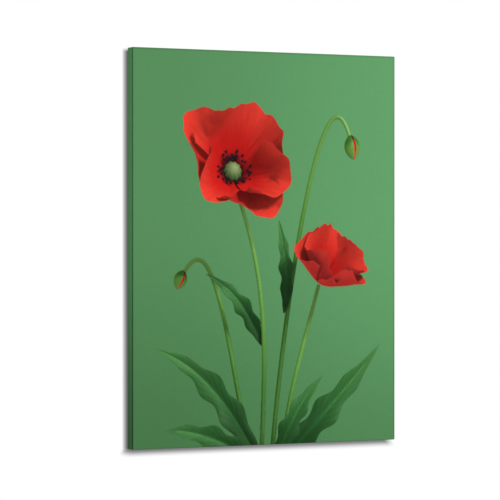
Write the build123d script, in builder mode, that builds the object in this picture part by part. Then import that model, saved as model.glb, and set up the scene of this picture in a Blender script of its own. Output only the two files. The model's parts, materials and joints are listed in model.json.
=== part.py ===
from build123d import *
from itertools import product
from math import asin, atan2, cos, hypot, sin, sqrt
import os

# A printed canvas stretched over four keyed pine bars, stapled behind, with a ring hanger at each side.
# Millimetres. X runs along the picture's width, its front faces -Y, and Z is up.
# The origin is the middle of the picture's bottom edge, halfway through its depth.

# Stretcher bars
frame_width = 450.0       # over the bars' outer edges
frame_height = 600.0
bar_width = 40.0
bar_thickness = 18.0
edge_round = 1.5          # radius of the frame's outer edges and corners
lip_width = 6.0           # strip along the outer edge that carries the canvas
lip_step = 0.8            # quick fall at the inner side of the lip
lip_slope = 2.0           # width of that fall
bevel_drop = 3.0          # how far the front falls from the lip to the inner edge
arris_round = 1.0         # radius of the inner edges

# Corner joints
joint_layer = 4.0         # depth of each of the two layers that hold a tongue
joint_clearance = 0.1     # between a tongue or a key and the wood around it
tongue_setback = 0.5      # how far a tongue stops short of the corner's outer face
key_length = 38.0
key_tip = 4.0             # width of a key at its thin end
key_butt = 13.0           # width of a key at its thick end
key_bite = 18.0           # length of a key inside its slot
key_tip_room = 2.0        # left free beyond a key's thin end, for tapping it further in
key_clip = 0.8            # clipped off a key's corners

# Canvas
canvas_thickness = 0.4
canvas_slack = 0.1        # between the canvas and the wood
canvas_strap_gap = 1.5    # between the canvas's raw edge and the hangers

# Staples
staple_pitch = 50.0       # about, along each bar
staple_end_distance = 25.0
staple_crown = 11.0
staple_leg = 6.0          # over the crown
staple_wire = 0.7         # thickness of the flat wire
staple_width = 1.3        # width of the flat wire
staple_bend = 0.4         # taken off the corner where the crown meets a leg

# Ring hangers
hanger_drop = 150.0       # below the frame's top edge
pivot_overhang = 2.0      # from a bar's inner edge to the ring's pivot
ring_wire = 2.5
ring_sides = 6            # faces round the wire, away from the round straight side
ring_play = 0.25          # around the wire in the strap's curl
ring_side_play = 0.5      # between the strap's side and the start of the ring's bend
ring_corner = 3.0         # bend radius beside the straight side
ring_arm = 1.0            # straight run between that bend and the half circle
strap_width = 10.0
strap_thickness = 0.9
strap_fold_gap = 0.2      # between the strap's two layers
strap_pinch = 7.0         # from the pivot to where the two layers come together
strap_pinch_round = 3.0
strap_end = 5.5           # from the screw to the strap's end
strap_end_round = 4.0
screw_head_radius = 3.2
screw_head_height = 1.9
screw_head_edge = 0.8     # height of the head's rim
screw_crown_radius = 2.2  # of the flat on top of the head
screw_shank_radius = 1.5
screw_length = 12.0       # under the head
screw_point = 3.0
screw_hole_clearance = 0.2
screw_ring_gap = 0.3      # between the head and the ring when it is folded back
recess_length = 3.6       # of the cross recess in the head
recess_width = 0.8
recess_depth = 1.1

# Sizes that follow from those above
wrap = canvas_thickness + canvas_slack
half_thickness = bar_thickness / 2
tongue_thickness = joint_layer - 2 * joint_clearance
key_taper = (key_butt - key_tip) / key_length
key_start = bar_width - key_bite
ring_half_straight = strap_width / 2 + ring_side_play
ring_half_width = ring_half_straight + ring_corner
ring_reach = ring_corner + ring_arm + ring_half_width
screw_distance = ring_reach + ring_wire / 2 + screw_ring_gap + screw_head_radius
strap_length = screw_distance + strap_end
strap_top = 2 * strap_thickness + strap_fold_gap          # over the wood
pivot_height = strap_thickness + ring_play + ring_wire / 2   # over the wood
canvas_margin = bar_width + pivot_overhang - strap_length - canvas_strap_gap
staple_inset = canvas_margin / 2
fold_start = edge_round   # the doubled corners begin where the back is flat
overcut = 1.0             # how far cuts run past the wood

# Each bar lies on a plane at the middle of its outer edge: x along it, y inwards, z to the picture's front.
front = (0, -1, 0)
frame_middle = wrap + frame_height / 2
picture_plane = Plane(origin=(0, 0, frame_middle), x_dir=(1, 0, 0), z_dir=front)
bottom_seat = Plane(origin=(0, 0, wrap), x_dir=(1, 0, 0), z_dir=front)
right_seat = Plane(origin=(frame_width / 2, 0, frame_middle), x_dir=(0, 0, 1), z_dir=front)
top_seat = Plane(origin=(0, 0, wrap + frame_height), x_dir=(-1, 0, 0), z_dir=front)
left_seat = Plane(origin=(-frame_width / 2, 0, frame_middle), x_dir=(0, 0, -1), z_dir=front)

os.makedirs("parts", exist_ok=True)


def save(piece, label):
    """Label a finished piece and write it under that name."""
    piece.part.label = label
    export_step(piece.part, f"parts/{label}.step")


def frame_block(growth):
    """The frame's outside as one rounded block, grown by the same amount on every side."""
    with BuildPart() as block:
        with BuildSketch(picture_plane):
            Rectangle(frame_width + 2 * growth, frame_height + 2 * growth)
        extrude(amount=half_thickness + growth, both=True)
        fillet(block.edges(), edge_round + growth)
    return block.part


def from_corner(points, length, end):
    """Points on a bar's plane, given as distances from an outer corner along and across the bar."""
    return [(end * (length / 2 - along), across) for along, across in points]


def slot_wall(across):
    """How far from the corner a slot's tapered end wall lies, at a distance across its bar."""
    return bar_width + 2 * joint_clearance + key_tip + key_taper * (across - key_start)


frame_outside = frame_block(0)
canvas_outside = frame_block(wrap)
canvas_inside = frame_block(canvas_slack)


# Bars: mitred, with a tongue in one layer and a slot for the neighbour's tongue in the other
def stretcher_bar(label, length, seat):
    """One bar. Its ends mirror each other, but swap the layers of tongue and slot, so all four interlock."""
    lip_end = half_thickness - lip_step
    past = bar_width + overcut
    slot_start = bar_width + joint_clearance
    pocket = key_start - key_tip_room
    mitre_waste = [(-overcut, -overcut), (past, past), (-overcut, past)]
    slot = [
        (-overcut, -overcut),
        (slot_start, -overcut),
        (slot_start, pocket),
        (slot_wall(pocket), pocket),
        (slot_wall(past), past),
        (past, past),
    ]
    tongue = [
        (tongue_setback, 0),
        (bar_width, 0),
        (bar_width, bar_width),
        (tongue_setback, bar_width),
    ]
    with BuildPart() as bar:
        with BuildSketch(Plane(origin=seat.origin, x_dir=seat.y_dir, z_dir=seat.x_dir)) as section:
            Polygon(
                (0, -half_thickness),
                (bar_width, -half_thickness),
                (bar_width, half_thickness - bevel_drop),
                (lip_width + lip_slope, lip_end),
                (lip_width, half_thickness),
                (0, half_thickness),
                align=None,
            )
            fillet(section.vertices().group_by(Axis.X)[-1], arris_round)
        extrude(amount=length / 2, both=True)
        for end, tongue_floor, slot_floor in ((-1, 0, -joint_layer), (1, -joint_layer, 0)):
            with BuildSketch(seat):
                Polygon(*from_corner(mitre_waste, length, end), align=None)
            extrude(amount=bar_thickness, both=True, mode=Mode.SUBTRACT)
            with BuildSketch(seat.offset(slot_floor)):
                Polygon(*from_corner(slot, length, end), align=None)
            extrude(amount=joint_layer, mode=Mode.SUBTRACT)
            with BuildSketch(seat.offset(tongue_floor + joint_clearance)):
                Polygon(*from_corner(tongue, length, end), align=None)
            extrude(amount=tongue_thickness)
        add(frame_outside, mode=Mode.INTERSECT)
    save(bar, label)


# Keys: wedges that lie along a bar's inner edge and bite into the slot of the bar that it meets
def corner_key(label, length, seat, end, floor):
    """The key at one end of a bar, in the layer of that end's tongue."""
    edge = bar_width + joint_clearance
    butt = key_start + key_length
    wedge = [(key_start, edge), (key_start, edge + key_tip), (butt, edge + key_butt), (butt, edge)]
    with BuildPart() as key:
        with BuildSketch(seat.offset(floor + joint_clearance)) as outline:
            Polygon(*from_corner(wedge, length, end), align=None)
            chamfer(outline.vertices(), key_clip)
        extrude(amount=tongue_thickness)
    save(key, label)


# Staples: one row along each bar, through the turned-over canvas
def staple_row(label, length, seat):
    """A row of staples at an even pitch, all driven square into one bar's back."""
    spaces = round((length - 2 * staple_end_distance) / staple_pitch)
    pitch = (length - 2 * staple_end_distance) / spaces
    row_origin = seat.from_local_coords((0, staple_inset, 0))
    crown_back = half_thickness + wrap + staple_wire
    middle = crown_back - staple_leg / 2
    with BuildPart() as staples:
        with BuildSketch(Plane(origin=row_origin, x_dir=seat.x_dir, z_dir=seat.y_dir)) as outline:
            with GridLocations(pitch, 0, spaces + 1, 1):
                with Locations((0, middle)):
                    Rectangle(staple_crown, staple_leg)
                with Locations((0, middle - staple_wire)):
                    Rectangle(staple_crown - 2 * staple_wire, staple_leg, mode=Mode.SUBTRACT)
            chamfer(outline.vertices().group_by(Axis.Y)[-1], staple_bend)
        extrude(amount=staple_width / 2, both=True)
    save(staples, label)


# Hangers: a strip of metal curled round the straight side of a ring, doubled back and screwed to a side bar
def hanger_base(inward):
    """The plane of a side bar's back below a ring's pivot: x inwards, z away from the wood."""
    pivot = frame_width / 2 - bar_width - pivot_overhang
    height = wrap + frame_height - hanger_drop
    return Plane(origin=(-inward * pivot, half_thickness, height), x_dir=(inward, 0, 0), z_dir=(0, 1, 0))


def hanger_strap(label, base):
    """The strip: flat on the wood, round the ring's wire, and down on itself along a tangent."""
    curl = pivot_height - strap_thickness / 2
    lower = strap_thickness / 2
    upper = strap_top - strap_thickness / 2
    rise = pivot_height - upper
    chord = hypot(strap_pinch, rise)
    slope = atan2(rise, strap_pinch) + asin(curl / chord)
    run = sqrt(chord**2 - curl**2)
    leave = (run * cos(slope) - strap_pinch, upper + run * sin(slope))
    with BuildPart(base) as strap:
        with BuildSketch(Plane(origin=base.origin, x_dir=base.x_dir, z_dir=-base.y_dir)):
            with BuildLine() as middle_line:
                Line((-strap_length, lower), (0, lower))
                ThreePointArc((0, lower), (curl, pivot_height), leave)
                Line(leave, (-strap_pinch, upper))
                Line((-strap_pinch, upper), (-strap_length, upper))
                pinch = middle_line.vertices().sort_by_distance((-strap_pinch, upper))[0]
                fillet(pinch, strap_pinch_round)
            trace(line_width=strap_thickness)
        extrude(amount=strap_width / 2, both=True)
        with BuildSketch(base):
            with Locations((strap_end_round, 0)):
                RectangleRounded(2 * (strap_length + strap_end_round), strap_width, strap_end_round)
        extrude(amount=2 * (pivot_height + curl), mode=Mode.INTERSECT)
        with Locations((-screw_distance, 0, strap_top)):
            Hole(screw_shank_radius + screw_hole_clearance)
    save(strap, label)


def hanger_ring(label, base):
    """The ring: a round straight side held in the strap's curl, two bends and a half circle."""
    bend = ring_corner * (1 - sqrt(0.5))
    arm_end = ring_corner + ring_arm
    with BuildPart() as ring:
        with BuildLine(base.offset(pivot_height)) as outline:
            Line((0, -ring_half_straight), (0, ring_half_straight))
            ThreePointArc(
                (0, ring_half_straight), (bend, ring_half_width - bend), (ring_corner, ring_half_width)
            )
            Line((ring_corner, ring_half_width), (arm_end, ring_half_width))
            ThreePointArc((arm_end, ring_half_width), (ring_reach, 0), (arm_end, -ring_half_width))
            Line((arm_end, -ring_half_width), (ring_corner, -ring_half_width))
            ThreePointArc(
                (ring_corner, -ring_half_width), (bend, bend - ring_half_width), (0, -ring_half_straight)
            )
        with BuildSketch(Plane(origin=outline.wire() @ 0, z_dir=outline.wire() % 0)):
            RegularPolygon(ring_wire / 2, ring_sides)
        sweep()
        with BuildSketch(Plane(origin=base.offset(pivot_height).origin, z_dir=base.y_dir)):
            Circle(ring_wire / 2)
        extrude(amount=ring_half_straight, both=True)
    save(ring, label)


def hanger_screw(label, base):
    """The screw: a bevelled head with a cross recess, on a plain shank that ends in a point."""
    neck = base.offset(strap_top).from_local_coords((-screw_distance, 0, 0))
    head_top = Plane(origin=neck, x_dir=base.x_dir, z_dir=base.z_dir).offset(screw_head_height)
    with BuildPart() as screw:
        with BuildSketch(Plane(origin=neck, x_dir=base.x_dir, z_dir=-base.y_dir)):
            Polygon(
                (0, -screw_length),
                (screw_shank_radius, screw_point - screw_length),
                (screw_shank_radius, 0),
                (screw_head_radius, 0),
                (screw_head_radius, screw_head_edge),
                (screw_crown_radius, screw_head_height),
                (0, screw_head_height),
                align=None,
            )
        revolve(axis=Axis(neck, base.z_dir))
        with BuildSketch(head_top):
            Rectangle(recess_length, recess_width)
            Rectangle(recess_width, recess_length)
        extrude(amount=-recess_depth, mode=Mode.SUBTRACT)
    save(screw, label)


stretcher_bar("bottom_bar", frame_width, bottom_seat)
stretcher_bar("right_bar", frame_height, right_seat)
stretcher_bar("top_bar", frame_width, top_seat)
stretcher_bar("left_bar", frame_height, left_seat)

corner_key("bottom_left_level_key", frame_width, bottom_seat, -1, 0)
corner_key("bottom_right_level_key", frame_width, bottom_seat, 1, -joint_layer)
corner_key("bottom_right_upright_key", frame_height, right_seat, -1, 0)
corner_key("top_right_upright_key", frame_height, right_seat, 1, -joint_layer)
corner_key("top_right_level_key", frame_width, top_seat, -1, 0)
corner_key("top_left_level_key", frame_width, top_seat, 1, -joint_layer)
corner_key("top_left_upright_key", frame_height, left_seat, -1, 0)
corner_key("bottom_left_upright_key", frame_height, left_seat, 1, -joint_layer)

# Canvas: one sheet over the front and round the four edges, with a margin turned over on the back.
# At each corner of the back the sheet's spare cloth lies doubled along the mitre.
with BuildPart() as canvas:
    add(canvas_outside)
    add(canvas_inside, mode=Mode.SUBTRACT)
    with BuildSketch(picture_plane):
        Rectangle(frame_width - 2 * canvas_margin, frame_height - 2 * canvas_margin)
    extrude(amount=-2 * bar_thickness, mode=Mode.SUBTRACT)
    fold = [(fold_start, fold_start), (canvas_margin, fold_start), (canvas_margin, canvas_margin)]
    for seat, end in product((bottom_seat, top_seat), (-1, 1)):
        with BuildSketch(seat.offset(-half_thickness - canvas_slack)):
            Polygon(*from_corner(fold, frame_width, end), align=None)
        extrude(amount=-2 * canvas_thickness)
save(canvas, "canvas")

staple_row("bottom_staples", frame_width, bottom_seat)
staple_row("right_staples", frame_height, right_seat)
staple_row("top_staples", frame_width, top_seat)
staple_row("left_staples", frame_height, left_seat)

for side, inward in (("left", 1), ("right", -1)):
    base = hanger_base(inward)
    hanger_strap(f"{side}_hanger_strap", base)
    hanger_ring(f"{side}_hanger_ring", base)
    hanger_screw(f"{side}_hanger_screw", base)
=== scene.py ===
"""Looks of a stretched canvas picture: the printed cloth, and the bars, keys, staples and hangers behind it.

Metres, in the part's own frame: X runs along the picture's width, its front faces -Y and Z is up.
"""

import json
import logging
import math
import random
from dataclasses import dataclass
from enum import Enum
from functools import partial
from typing import Callable

import bmesh
import bpy
import numpy as np
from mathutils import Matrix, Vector
from mathutils.bvhtree import BVHTree


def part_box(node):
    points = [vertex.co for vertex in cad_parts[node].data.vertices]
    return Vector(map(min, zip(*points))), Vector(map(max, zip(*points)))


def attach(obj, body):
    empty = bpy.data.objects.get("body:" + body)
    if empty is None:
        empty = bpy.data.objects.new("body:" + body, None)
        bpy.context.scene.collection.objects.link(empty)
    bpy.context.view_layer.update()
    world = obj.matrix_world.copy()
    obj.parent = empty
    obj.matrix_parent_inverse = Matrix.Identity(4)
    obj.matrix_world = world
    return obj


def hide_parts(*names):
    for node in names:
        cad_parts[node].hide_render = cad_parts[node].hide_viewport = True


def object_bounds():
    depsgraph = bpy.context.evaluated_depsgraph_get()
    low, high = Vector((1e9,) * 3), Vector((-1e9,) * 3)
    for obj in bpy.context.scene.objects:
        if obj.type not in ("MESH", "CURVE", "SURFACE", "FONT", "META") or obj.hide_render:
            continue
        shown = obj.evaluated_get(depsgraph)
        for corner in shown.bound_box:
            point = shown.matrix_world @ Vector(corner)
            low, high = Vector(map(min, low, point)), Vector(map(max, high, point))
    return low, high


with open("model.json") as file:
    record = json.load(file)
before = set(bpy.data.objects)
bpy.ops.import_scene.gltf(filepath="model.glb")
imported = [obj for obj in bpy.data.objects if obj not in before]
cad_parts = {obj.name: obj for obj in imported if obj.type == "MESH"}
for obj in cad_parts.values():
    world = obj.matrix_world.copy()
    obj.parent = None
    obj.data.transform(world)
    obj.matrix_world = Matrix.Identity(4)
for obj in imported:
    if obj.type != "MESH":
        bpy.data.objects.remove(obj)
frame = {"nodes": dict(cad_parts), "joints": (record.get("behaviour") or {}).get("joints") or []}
cad_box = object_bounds()
log = logging.getLogger("canvas_picture")

Triple = tuple[float, float, float]
Colour = Triple
Range = tuple[float, float]
Quad = tuple[float, float, float, float]
Steps = tuple[int, int]
Socket = bpy.types.NodeSocket
Formula = Callable[[float, float], Vector]

PRINT_LAYER = "print"
PAST_LAYER = "past_the_fold"
CLOTH_MAP = "cloth"
NOISE_RANGE: Range = (0.3, 0.7)
UP = Vector((0.0, 0.0, 1.0))
AWAY = Vector((0.0, 1.0, 0.0))


class Run(Enum):
    """Which way a bar or key runs, and so its grain."""

    LEVEL = (0.0, 0.0, 0.0)
    UPRIGHT = (0.0, math.pi / 2, 0.0)


class Side(Enum):
    """A hanger's side of the picture."""

    LEFT = "left"
    RIGHT = "right"


def linear(red: float, green: float, blue: float) -> Colour:
    """Turn a screen colour into linear light.

    Args:
        red: Red, from 0 to 255.
        green: Green, from 0 to 255.
        blue: Blue, from 0 to 255.

    Returns:
        The same colour in linear light, from 0 to 1.
    """
    shares = (level / 255 for level in (red, green, blue))
    return tuple(s / 12.92 if s <= 0.04045 else ((s + 0.055) / 1.055) ** 2.4 for s in shares)


def smooth(low: float, high: float, value: float | np.ndarray) -> float | np.ndarray:
    """Ease from 0 to 1 between two values.

    Args:
        low: Where the rise starts.
        high: Where it ends.
        value: The value, or an array of them.

    Returns:
        0 before low, 1 after high, and an even curve between them.
    """
    share = np.clip((value - low) / (high - low), 0.0, 1.0)
    return share * share * (3 - 2 * share)


class NodeSheet:
    """A node tree that is filled by short calls."""

    def __init__(self, tree: bpy.types.NodeTree) -> None:
        """Keep the tree that the calls fill."""
        self.tree = tree

    def feed(self, socket: Socket, value: object) -> None:
        """Link a socket to another one, or set its value.

        Args:
            socket: The input to fill.
            value: An output socket, a number, a vector or a colour.
        """
        if isinstance(value, Socket):
            self.tree.links.new(value, socket)
        elif socket.type == "RGBA" and len(value) == 3:
            socket.default_value = (*value, 1.0)
        else:
            socket.default_value = value

    def add(
        self,
        kind: str,
        inputs: dict[str | int, object] | None = None,
        **settings: object,
    ) -> bpy.types.Node:
        """Add a node.

        Args:
            kind: The node's type.
            inputs: What feeds its inputs, by name or number.
            **settings: The node's own settings.

        Returns:
            The new node.
        """
        node = self.tree.nodes.new(kind)
        for name, value in settings.items():
            setattr(node, name, value)
        for name, value in (inputs or {}).items():
            self.feed(node.inputs[name], value)
        return node

    def math(self, operation: str, first: object, second: object = 0.0) -> Socket:
        """Add a sum of two numbers and return its result."""
        return self.add("ShaderNodeMath", {0: first, 1: second}, operation=operation).outputs[0]

    def blend(self, first: Socket, share: float, second: Socket, other_share: float) -> Socket:
        """Add up two numbers, each by its own share, and return the sum."""
        first, second = self.math("MULTIPLY", first, share), self.math("MULTIPLY", second, other_share)
        return self.math("ADD", first, second)

    def stretch(self, vector: Socket, scale: Triple) -> Socket:
        """Scale a vector along its axes and return the result."""
        return self.add("ShaderNodeVectorMath", {0: vector, 1: scale}, operation="MULTIPLY").outputs[0]

    def enlarge(self, vector: Socket, rate: Socket) -> Socket:
        """Scale a vector evenly and return the result."""
        return self.add("ShaderNodeVectorMath", {0: vector, "Scale": rate}, operation="SCALE").outputs[0]

    def noise(self, vector: Socket, scale: float | Triple, detail: float = 2.0, rough: float = 0.5) -> Socket:
        """Add a noise pattern.

        Args:
            vector: The place that it is read at.
            scale: How fine it is, as one number or one for each axis.
            detail: How many finer layers it has.
            rough: How strong those are.

        Returns:
            The pattern's value.
        """
        if isinstance(scale, tuple):
            vector, scale = self.stretch(vector, scale), 1.0
        inputs = {"Vector": vector, "Scale": scale, "Detail": detail, "Roughness": rough}
        return self.add("ShaderNodeTexNoise", inputs).outputs[0]

    def span(
        self,
        value: Socket,
        low: float,
        high: float,
        out_low: float = 0.0,
        out_high: float = 1.0,
        gentle: bool = False,
    ) -> Socket:
        """Map one range of numbers to another, without going past its ends.

        Args:
            value: The number to map.
            low: The start of its range.
            high: The end of its range.
            out_low: What the start becomes.
            out_high: What the end becomes.
            gentle: Whether it starts and ends gently.

        Returns:
            The mapped number.
        """
        kind = "SMOOTHSTEP" if gentle else "LINEAR"
        inputs = {"Value": value, "From Min": low, "From Max": high, "To Min": out_low, "To Max": out_high}
        return self.add("ShaderNodeMapRange", inputs, clamp=True, interpolation_type=kind).outputs[0]

    def mix(self, factor: object, first: object, second: object, mode: str = "MIX") -> Socket:
        """Mix two colours.

        Args:
            factor: The second colour's share.
            first: The first colour.
            second: The second colour.
            mode: How they are mixed.

        Returns:
            The mixed colour.
        """
        inputs = {0: factor, 6: first, 7: second}
        return self.add("ShaderNodeMix", inputs, data_type="RGBA", blend_type=mode).outputs[2]

    def bump(self, height: Socket, distance: float) -> Socket:
        """Turn a height into a normal and return it."""
        return self.add("ShaderNodeBump", {"Height": height, "Distance": distance}).outputs[0]

    def paint(self, shader: bpy.types.Node, colour: Socket, rough: Socket, normal: Socket) -> None:
        """Feed a shader its colour, roughness and normal."""
        for label, value in (("Base Color", colour), ("Roughness", rough), ("Normal", normal)):
            self.feed(shader.inputs[label], value)


class Effect:
    """A shader node group that several materials share."""

    name: str = ""
    inputs: dict[str, str] = {}
    outputs: dict[str, str] = {}

    def wire(self, sheet: NodeSheet, given: dict[str, Socket]) -> dict[str, Socket]:
        """Fill the group.

        Args:
            sheet: The group's own sheet.
            given: The group's inputs by name.

        Returns:
            What feeds the group's outputs, by name.
        """
        raise NotImplementedError

    def tree(self) -> bpy.types.NodeTree:
        """Find the group, or build it the first time.

        Returns:
            The group.
        """
        made = bpy.data.node_groups.get(self.name)
        if made is not None:
            return made
        made = bpy.data.node_groups.new(self.name, "ShaderNodeTree")
        for way, sockets in (("INPUT", self.inputs), ("OUTPUT", self.outputs)):
            for label, kind in sockets.items():
                made.interface.new_socket(label, in_out=way, socket_type=kind)
        sheet = NodeSheet(made)
        start = sheet.add("NodeGroupInput")
        results = self.wire(sheet, {label: start.outputs[label] for label in self.inputs})
        sheet.add("NodeGroupOutput", results)
        return made

    def place(self, sheet: NodeSheet, given: dict[str, object]) -> dict[str, Socket]:
        """Place the group in a material.

        Args:
            sheet: The material's sheet.
            given: What feeds the group's inputs, by name.

        Returns:
            The group's outputs by name.
        """
        node = sheet.add("ShaderNodeGroup", given, node_tree=self.tree())
        return {label: node.outputs[label] for label in self.outputs}


class PlainWeave(Effect):
    """Threads that pass over and under each other, some thicker than others."""

    name = "plain_weave"
    inputs = {"Cloth": "NodeSocketVector", "Pitch": "NodeSocketFloat", "Slub": "NodeSocketFloat"}
    outputs = {"Height": "NodeSocketFloat", "Fleck": "NodeSocketFloat"}
    warp_slub: Triple = (0.32, 0.012, 0.0)
    weft_slub: Triple = (0.012, 0.32, 1.0)
    fleck: Triple = (0.11, 0.11, 0.0)

    def wire(self, sheet: NodeSheet, given: dict[str, Socket]) -> dict[str, Socket]:
        """Wire the crossing threads and their uneven thickness.

        Args:
            sheet: The group's own sheet.
            given: The place on the flat cloth, the threads' pitch, and how uneven they are.

        Returns:
            The weave's height and its flecks.
        """
        threads = sheet.enlarge(given["Cloth"], sheet.math("DIVIDE", math.pi, given["Pitch"]))
        parts = sheet.add("ShaderNodeSeparateXYZ", {0: threads})
        across = sheet.math("SINE", parts.outputs[0])
        along = sheet.math("SINE", parts.outputs[1])
        over = sheet.span(sheet.math("MULTIPLY", across, along), -1.0, 1.0)
        warp = sheet.math("MULTIPLY", sheet.math("ABSOLUTE", across), over)
        weft = sheet.math("MULTIPLY", sheet.math("ABSOLUTE", along), sheet.math("SUBTRACT", 1.0, over))
        warp_slub = sheet.noise(threads, self.warp_slub, detail=1.0)
        weft_slub = sheet.noise(threads, self.weft_slub, detail=1.0)
        slubs = sheet.math("SUBTRACT", sheet.math("ADD", warp_slub, weft_slub), 1.0)
        uneven = sheet.math("MULTIPLY", slubs, given["Slub"])
        height = sheet.math("ADD", sheet.math("ADD", warp, weft), uneven)
        return {"Height": height, "Fleck": sheet.noise(threads, self.fleck, detail=3.0, rough=0.7)}


class PineGrain(Effect):
    """Growth rings cut along a plank, with fibres and a few knots. X runs along the grain."""

    name = "pine_grain"
    inputs = {
        "Plank": "NodeSocketVector",
        "Ring": "NodeSocketFloat",
        "Pale": "NodeSocketColor",
        "Dark": "NodeSocketColor",
        "Knot": "NodeSocketColor",
        "Knots": "NodeSocketFloat",
    }
    outputs = {"Color": "NodeSocketColor", "Fibre": "NodeSocketFloat"}
    pith: Triple = (0.0, 0.035, 0.06)
    section: Triple = (0.0, 1.0, 1.0)
    wander: Triple = (2.2, 9.0, 9.0)
    wander_drift: float = 0.034
    year: float = 90.0
    year_drift: float = 0.010
    early_to_late: Range = (0.25, 0.86)
    late_to_early: Range = (1.0, 0.84)
    late_share: float = 0.70
    season: Triple = (3.0, 160.0, 160.0)
    season_play: Range = (0.25, 1.0)
    fibre: Triple = (18.0, 900.0, 900.0)
    fibre_share: float = 0.30
    duct: Triple = (45.0, 1500.0, 1500.0)
    duct_range: Quad = (0.66, 0.74, 0.0, 0.35)
    knot: Triple = (6.0, 11.0, 16.0)
    knot_core: Quad = (0.062, 0.040, 0.0, 0.8)
    knot_halo: Quad = (0.15, 0.05, 0.0, 0.3)
    knot_reach: Range = (0.34, 0.08)
    knot_swerve: float = 0.005

    def wire(self, sheet: NodeSheet, given: dict[str, Socket]) -> dict[str, Socket]:
        """Wire the rings round the log's middle, the fibres along it and the knots across it.

        Args:
            sheet: The group's own sheet.
            given: The place in the plank, the rings' pitch, the wood's colours and how strong its knots are.

        Returns:
            The wood's colour and its fibres.
        """
        plank = given["Plank"]
        cells = {"Vector": sheet.stretch(plank, self.knot), "Scale": 1.0}
        from_knot = sheet.add("ShaderNodeTexVoronoi", cells).outputs["Distance"]
        core, halo = sheet.span(from_knot, *self.knot_core), sheet.span(from_knot, *self.knot_halo)
        knot = sheet.math("MULTIPLY", sheet.math("MAXIMUM", core, halo), given["Knots"])
        from_pith = sheet.add("ShaderNodeVectorMath", {0: plank, 1: self.pith}, operation="ADD").outputs[0]
        section = sheet.stretch(from_pith, self.section)
        radius = sheet.add("ShaderNodeVectorMath", {0: section}, operation="LENGTH").outputs["Value"]
        swerve = sheet.math("MULTIPLY", given["Knots"], self.knot_swerve)
        swerve = sheet.math("MULTIPLY", sheet.span(from_knot, *self.knot_reach), swerve)
        year = {"W": radius, "Scale": self.year, "Detail": 1.0}
        years = sheet.add("ShaderNodeTexNoise", year, noise_dimensions="1D").outputs[0]
        drift = sheet.blend(sheet.noise(plank, self.wander), self.wander_drift, years, self.year_drift)
        bent = sheet.math("ADD", sheet.math("ADD", radius, drift), swerve)
        ring = sheet.math("FRACT", sheet.math("DIVIDE", bent, given["Ring"]))
        rising, falling = sheet.span(ring, *self.early_to_late), sheet.span(ring, *self.late_to_early)
        season = sheet.span(sheet.noise(plank, self.season), *NOISE_RANGE, *self.season_play)
        late = sheet.math("MULTIPLY", sheet.math("MULTIPLY", rising, falling), season)
        fibre = sheet.noise(plank, self.fibre, detail=3.0, rough=0.6)
        ducts = sheet.span(sheet.noise(plank, self.duct, detail=1.0), *self.duct_range)
        weight = sheet.blend(late, self.late_share, fibre, self.fibre_share)
        wood = sheet.mix(weight, given["Pale"], given["Dark"])
        wood = sheet.mix(ducts, wood, given["Knot"])
        return {"Color": sheet.mix(knot, wood, given["Knot"]), "Fibre": fibre}


class PlatedWear(Effect):
    """Plated metal that has been handled: dull patches, fine scratches and a grainy coat."""

    name = "plated_wear"
    inputs = {"Spot": "NodeSocketVector", "Grain": "NodeSocketFloat"}
    outputs = {"Dull": "NodeSocketFloat", "Scratch": "NodeSocketFloat", "Height": "NodeSocketFloat"}
    patch: Triple = (0.22, 0.22, 0.22)
    scratch: Triple = (4.0, 0.35, 4.0)
    scratch_range: Range = (0.58, 0.72)

    def wire(self, sheet: NodeSheet, given: dict[str, Socket]) -> dict[str, Socket]:
        """Wire the patches, the scratches and the coat's grain.

        Args:
            sheet: The group's own sheet.
            given: The place on the metal, and how fine its coat's grain is.

        Returns:
            How dull and how scratched the metal is, and its coat's height.
        """
        grain = sheet.enlarge(given["Spot"], given["Grain"])
        coat = sheet.noise(grain, 1.0, detail=4.0, rough=0.65)
        dull = sheet.blend(coat, 0.5, sheet.noise(grain, self.patch), 0.5)
        scratch = sheet.span(sheet.noise(grain, self.scratch, rough=0.7), *self.scratch_range)
        return {"Dull": dull, "Scratch": scratch, "Height": coat}


def new_material(name: str) -> tuple[bpy.types.Material, NodeSheet, bpy.types.Node]:
    """Start a material with its shader.

    Args:
        name: The material's name.

    Returns:
        The material, its sheet of nodes and its shader node.
    """
    material = bpy.data.materials.new(name)
    material.use_nodes = True
    return material, NodeSheet(material.node_tree), material.node_tree.nodes["Principled BSDF"]


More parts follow.
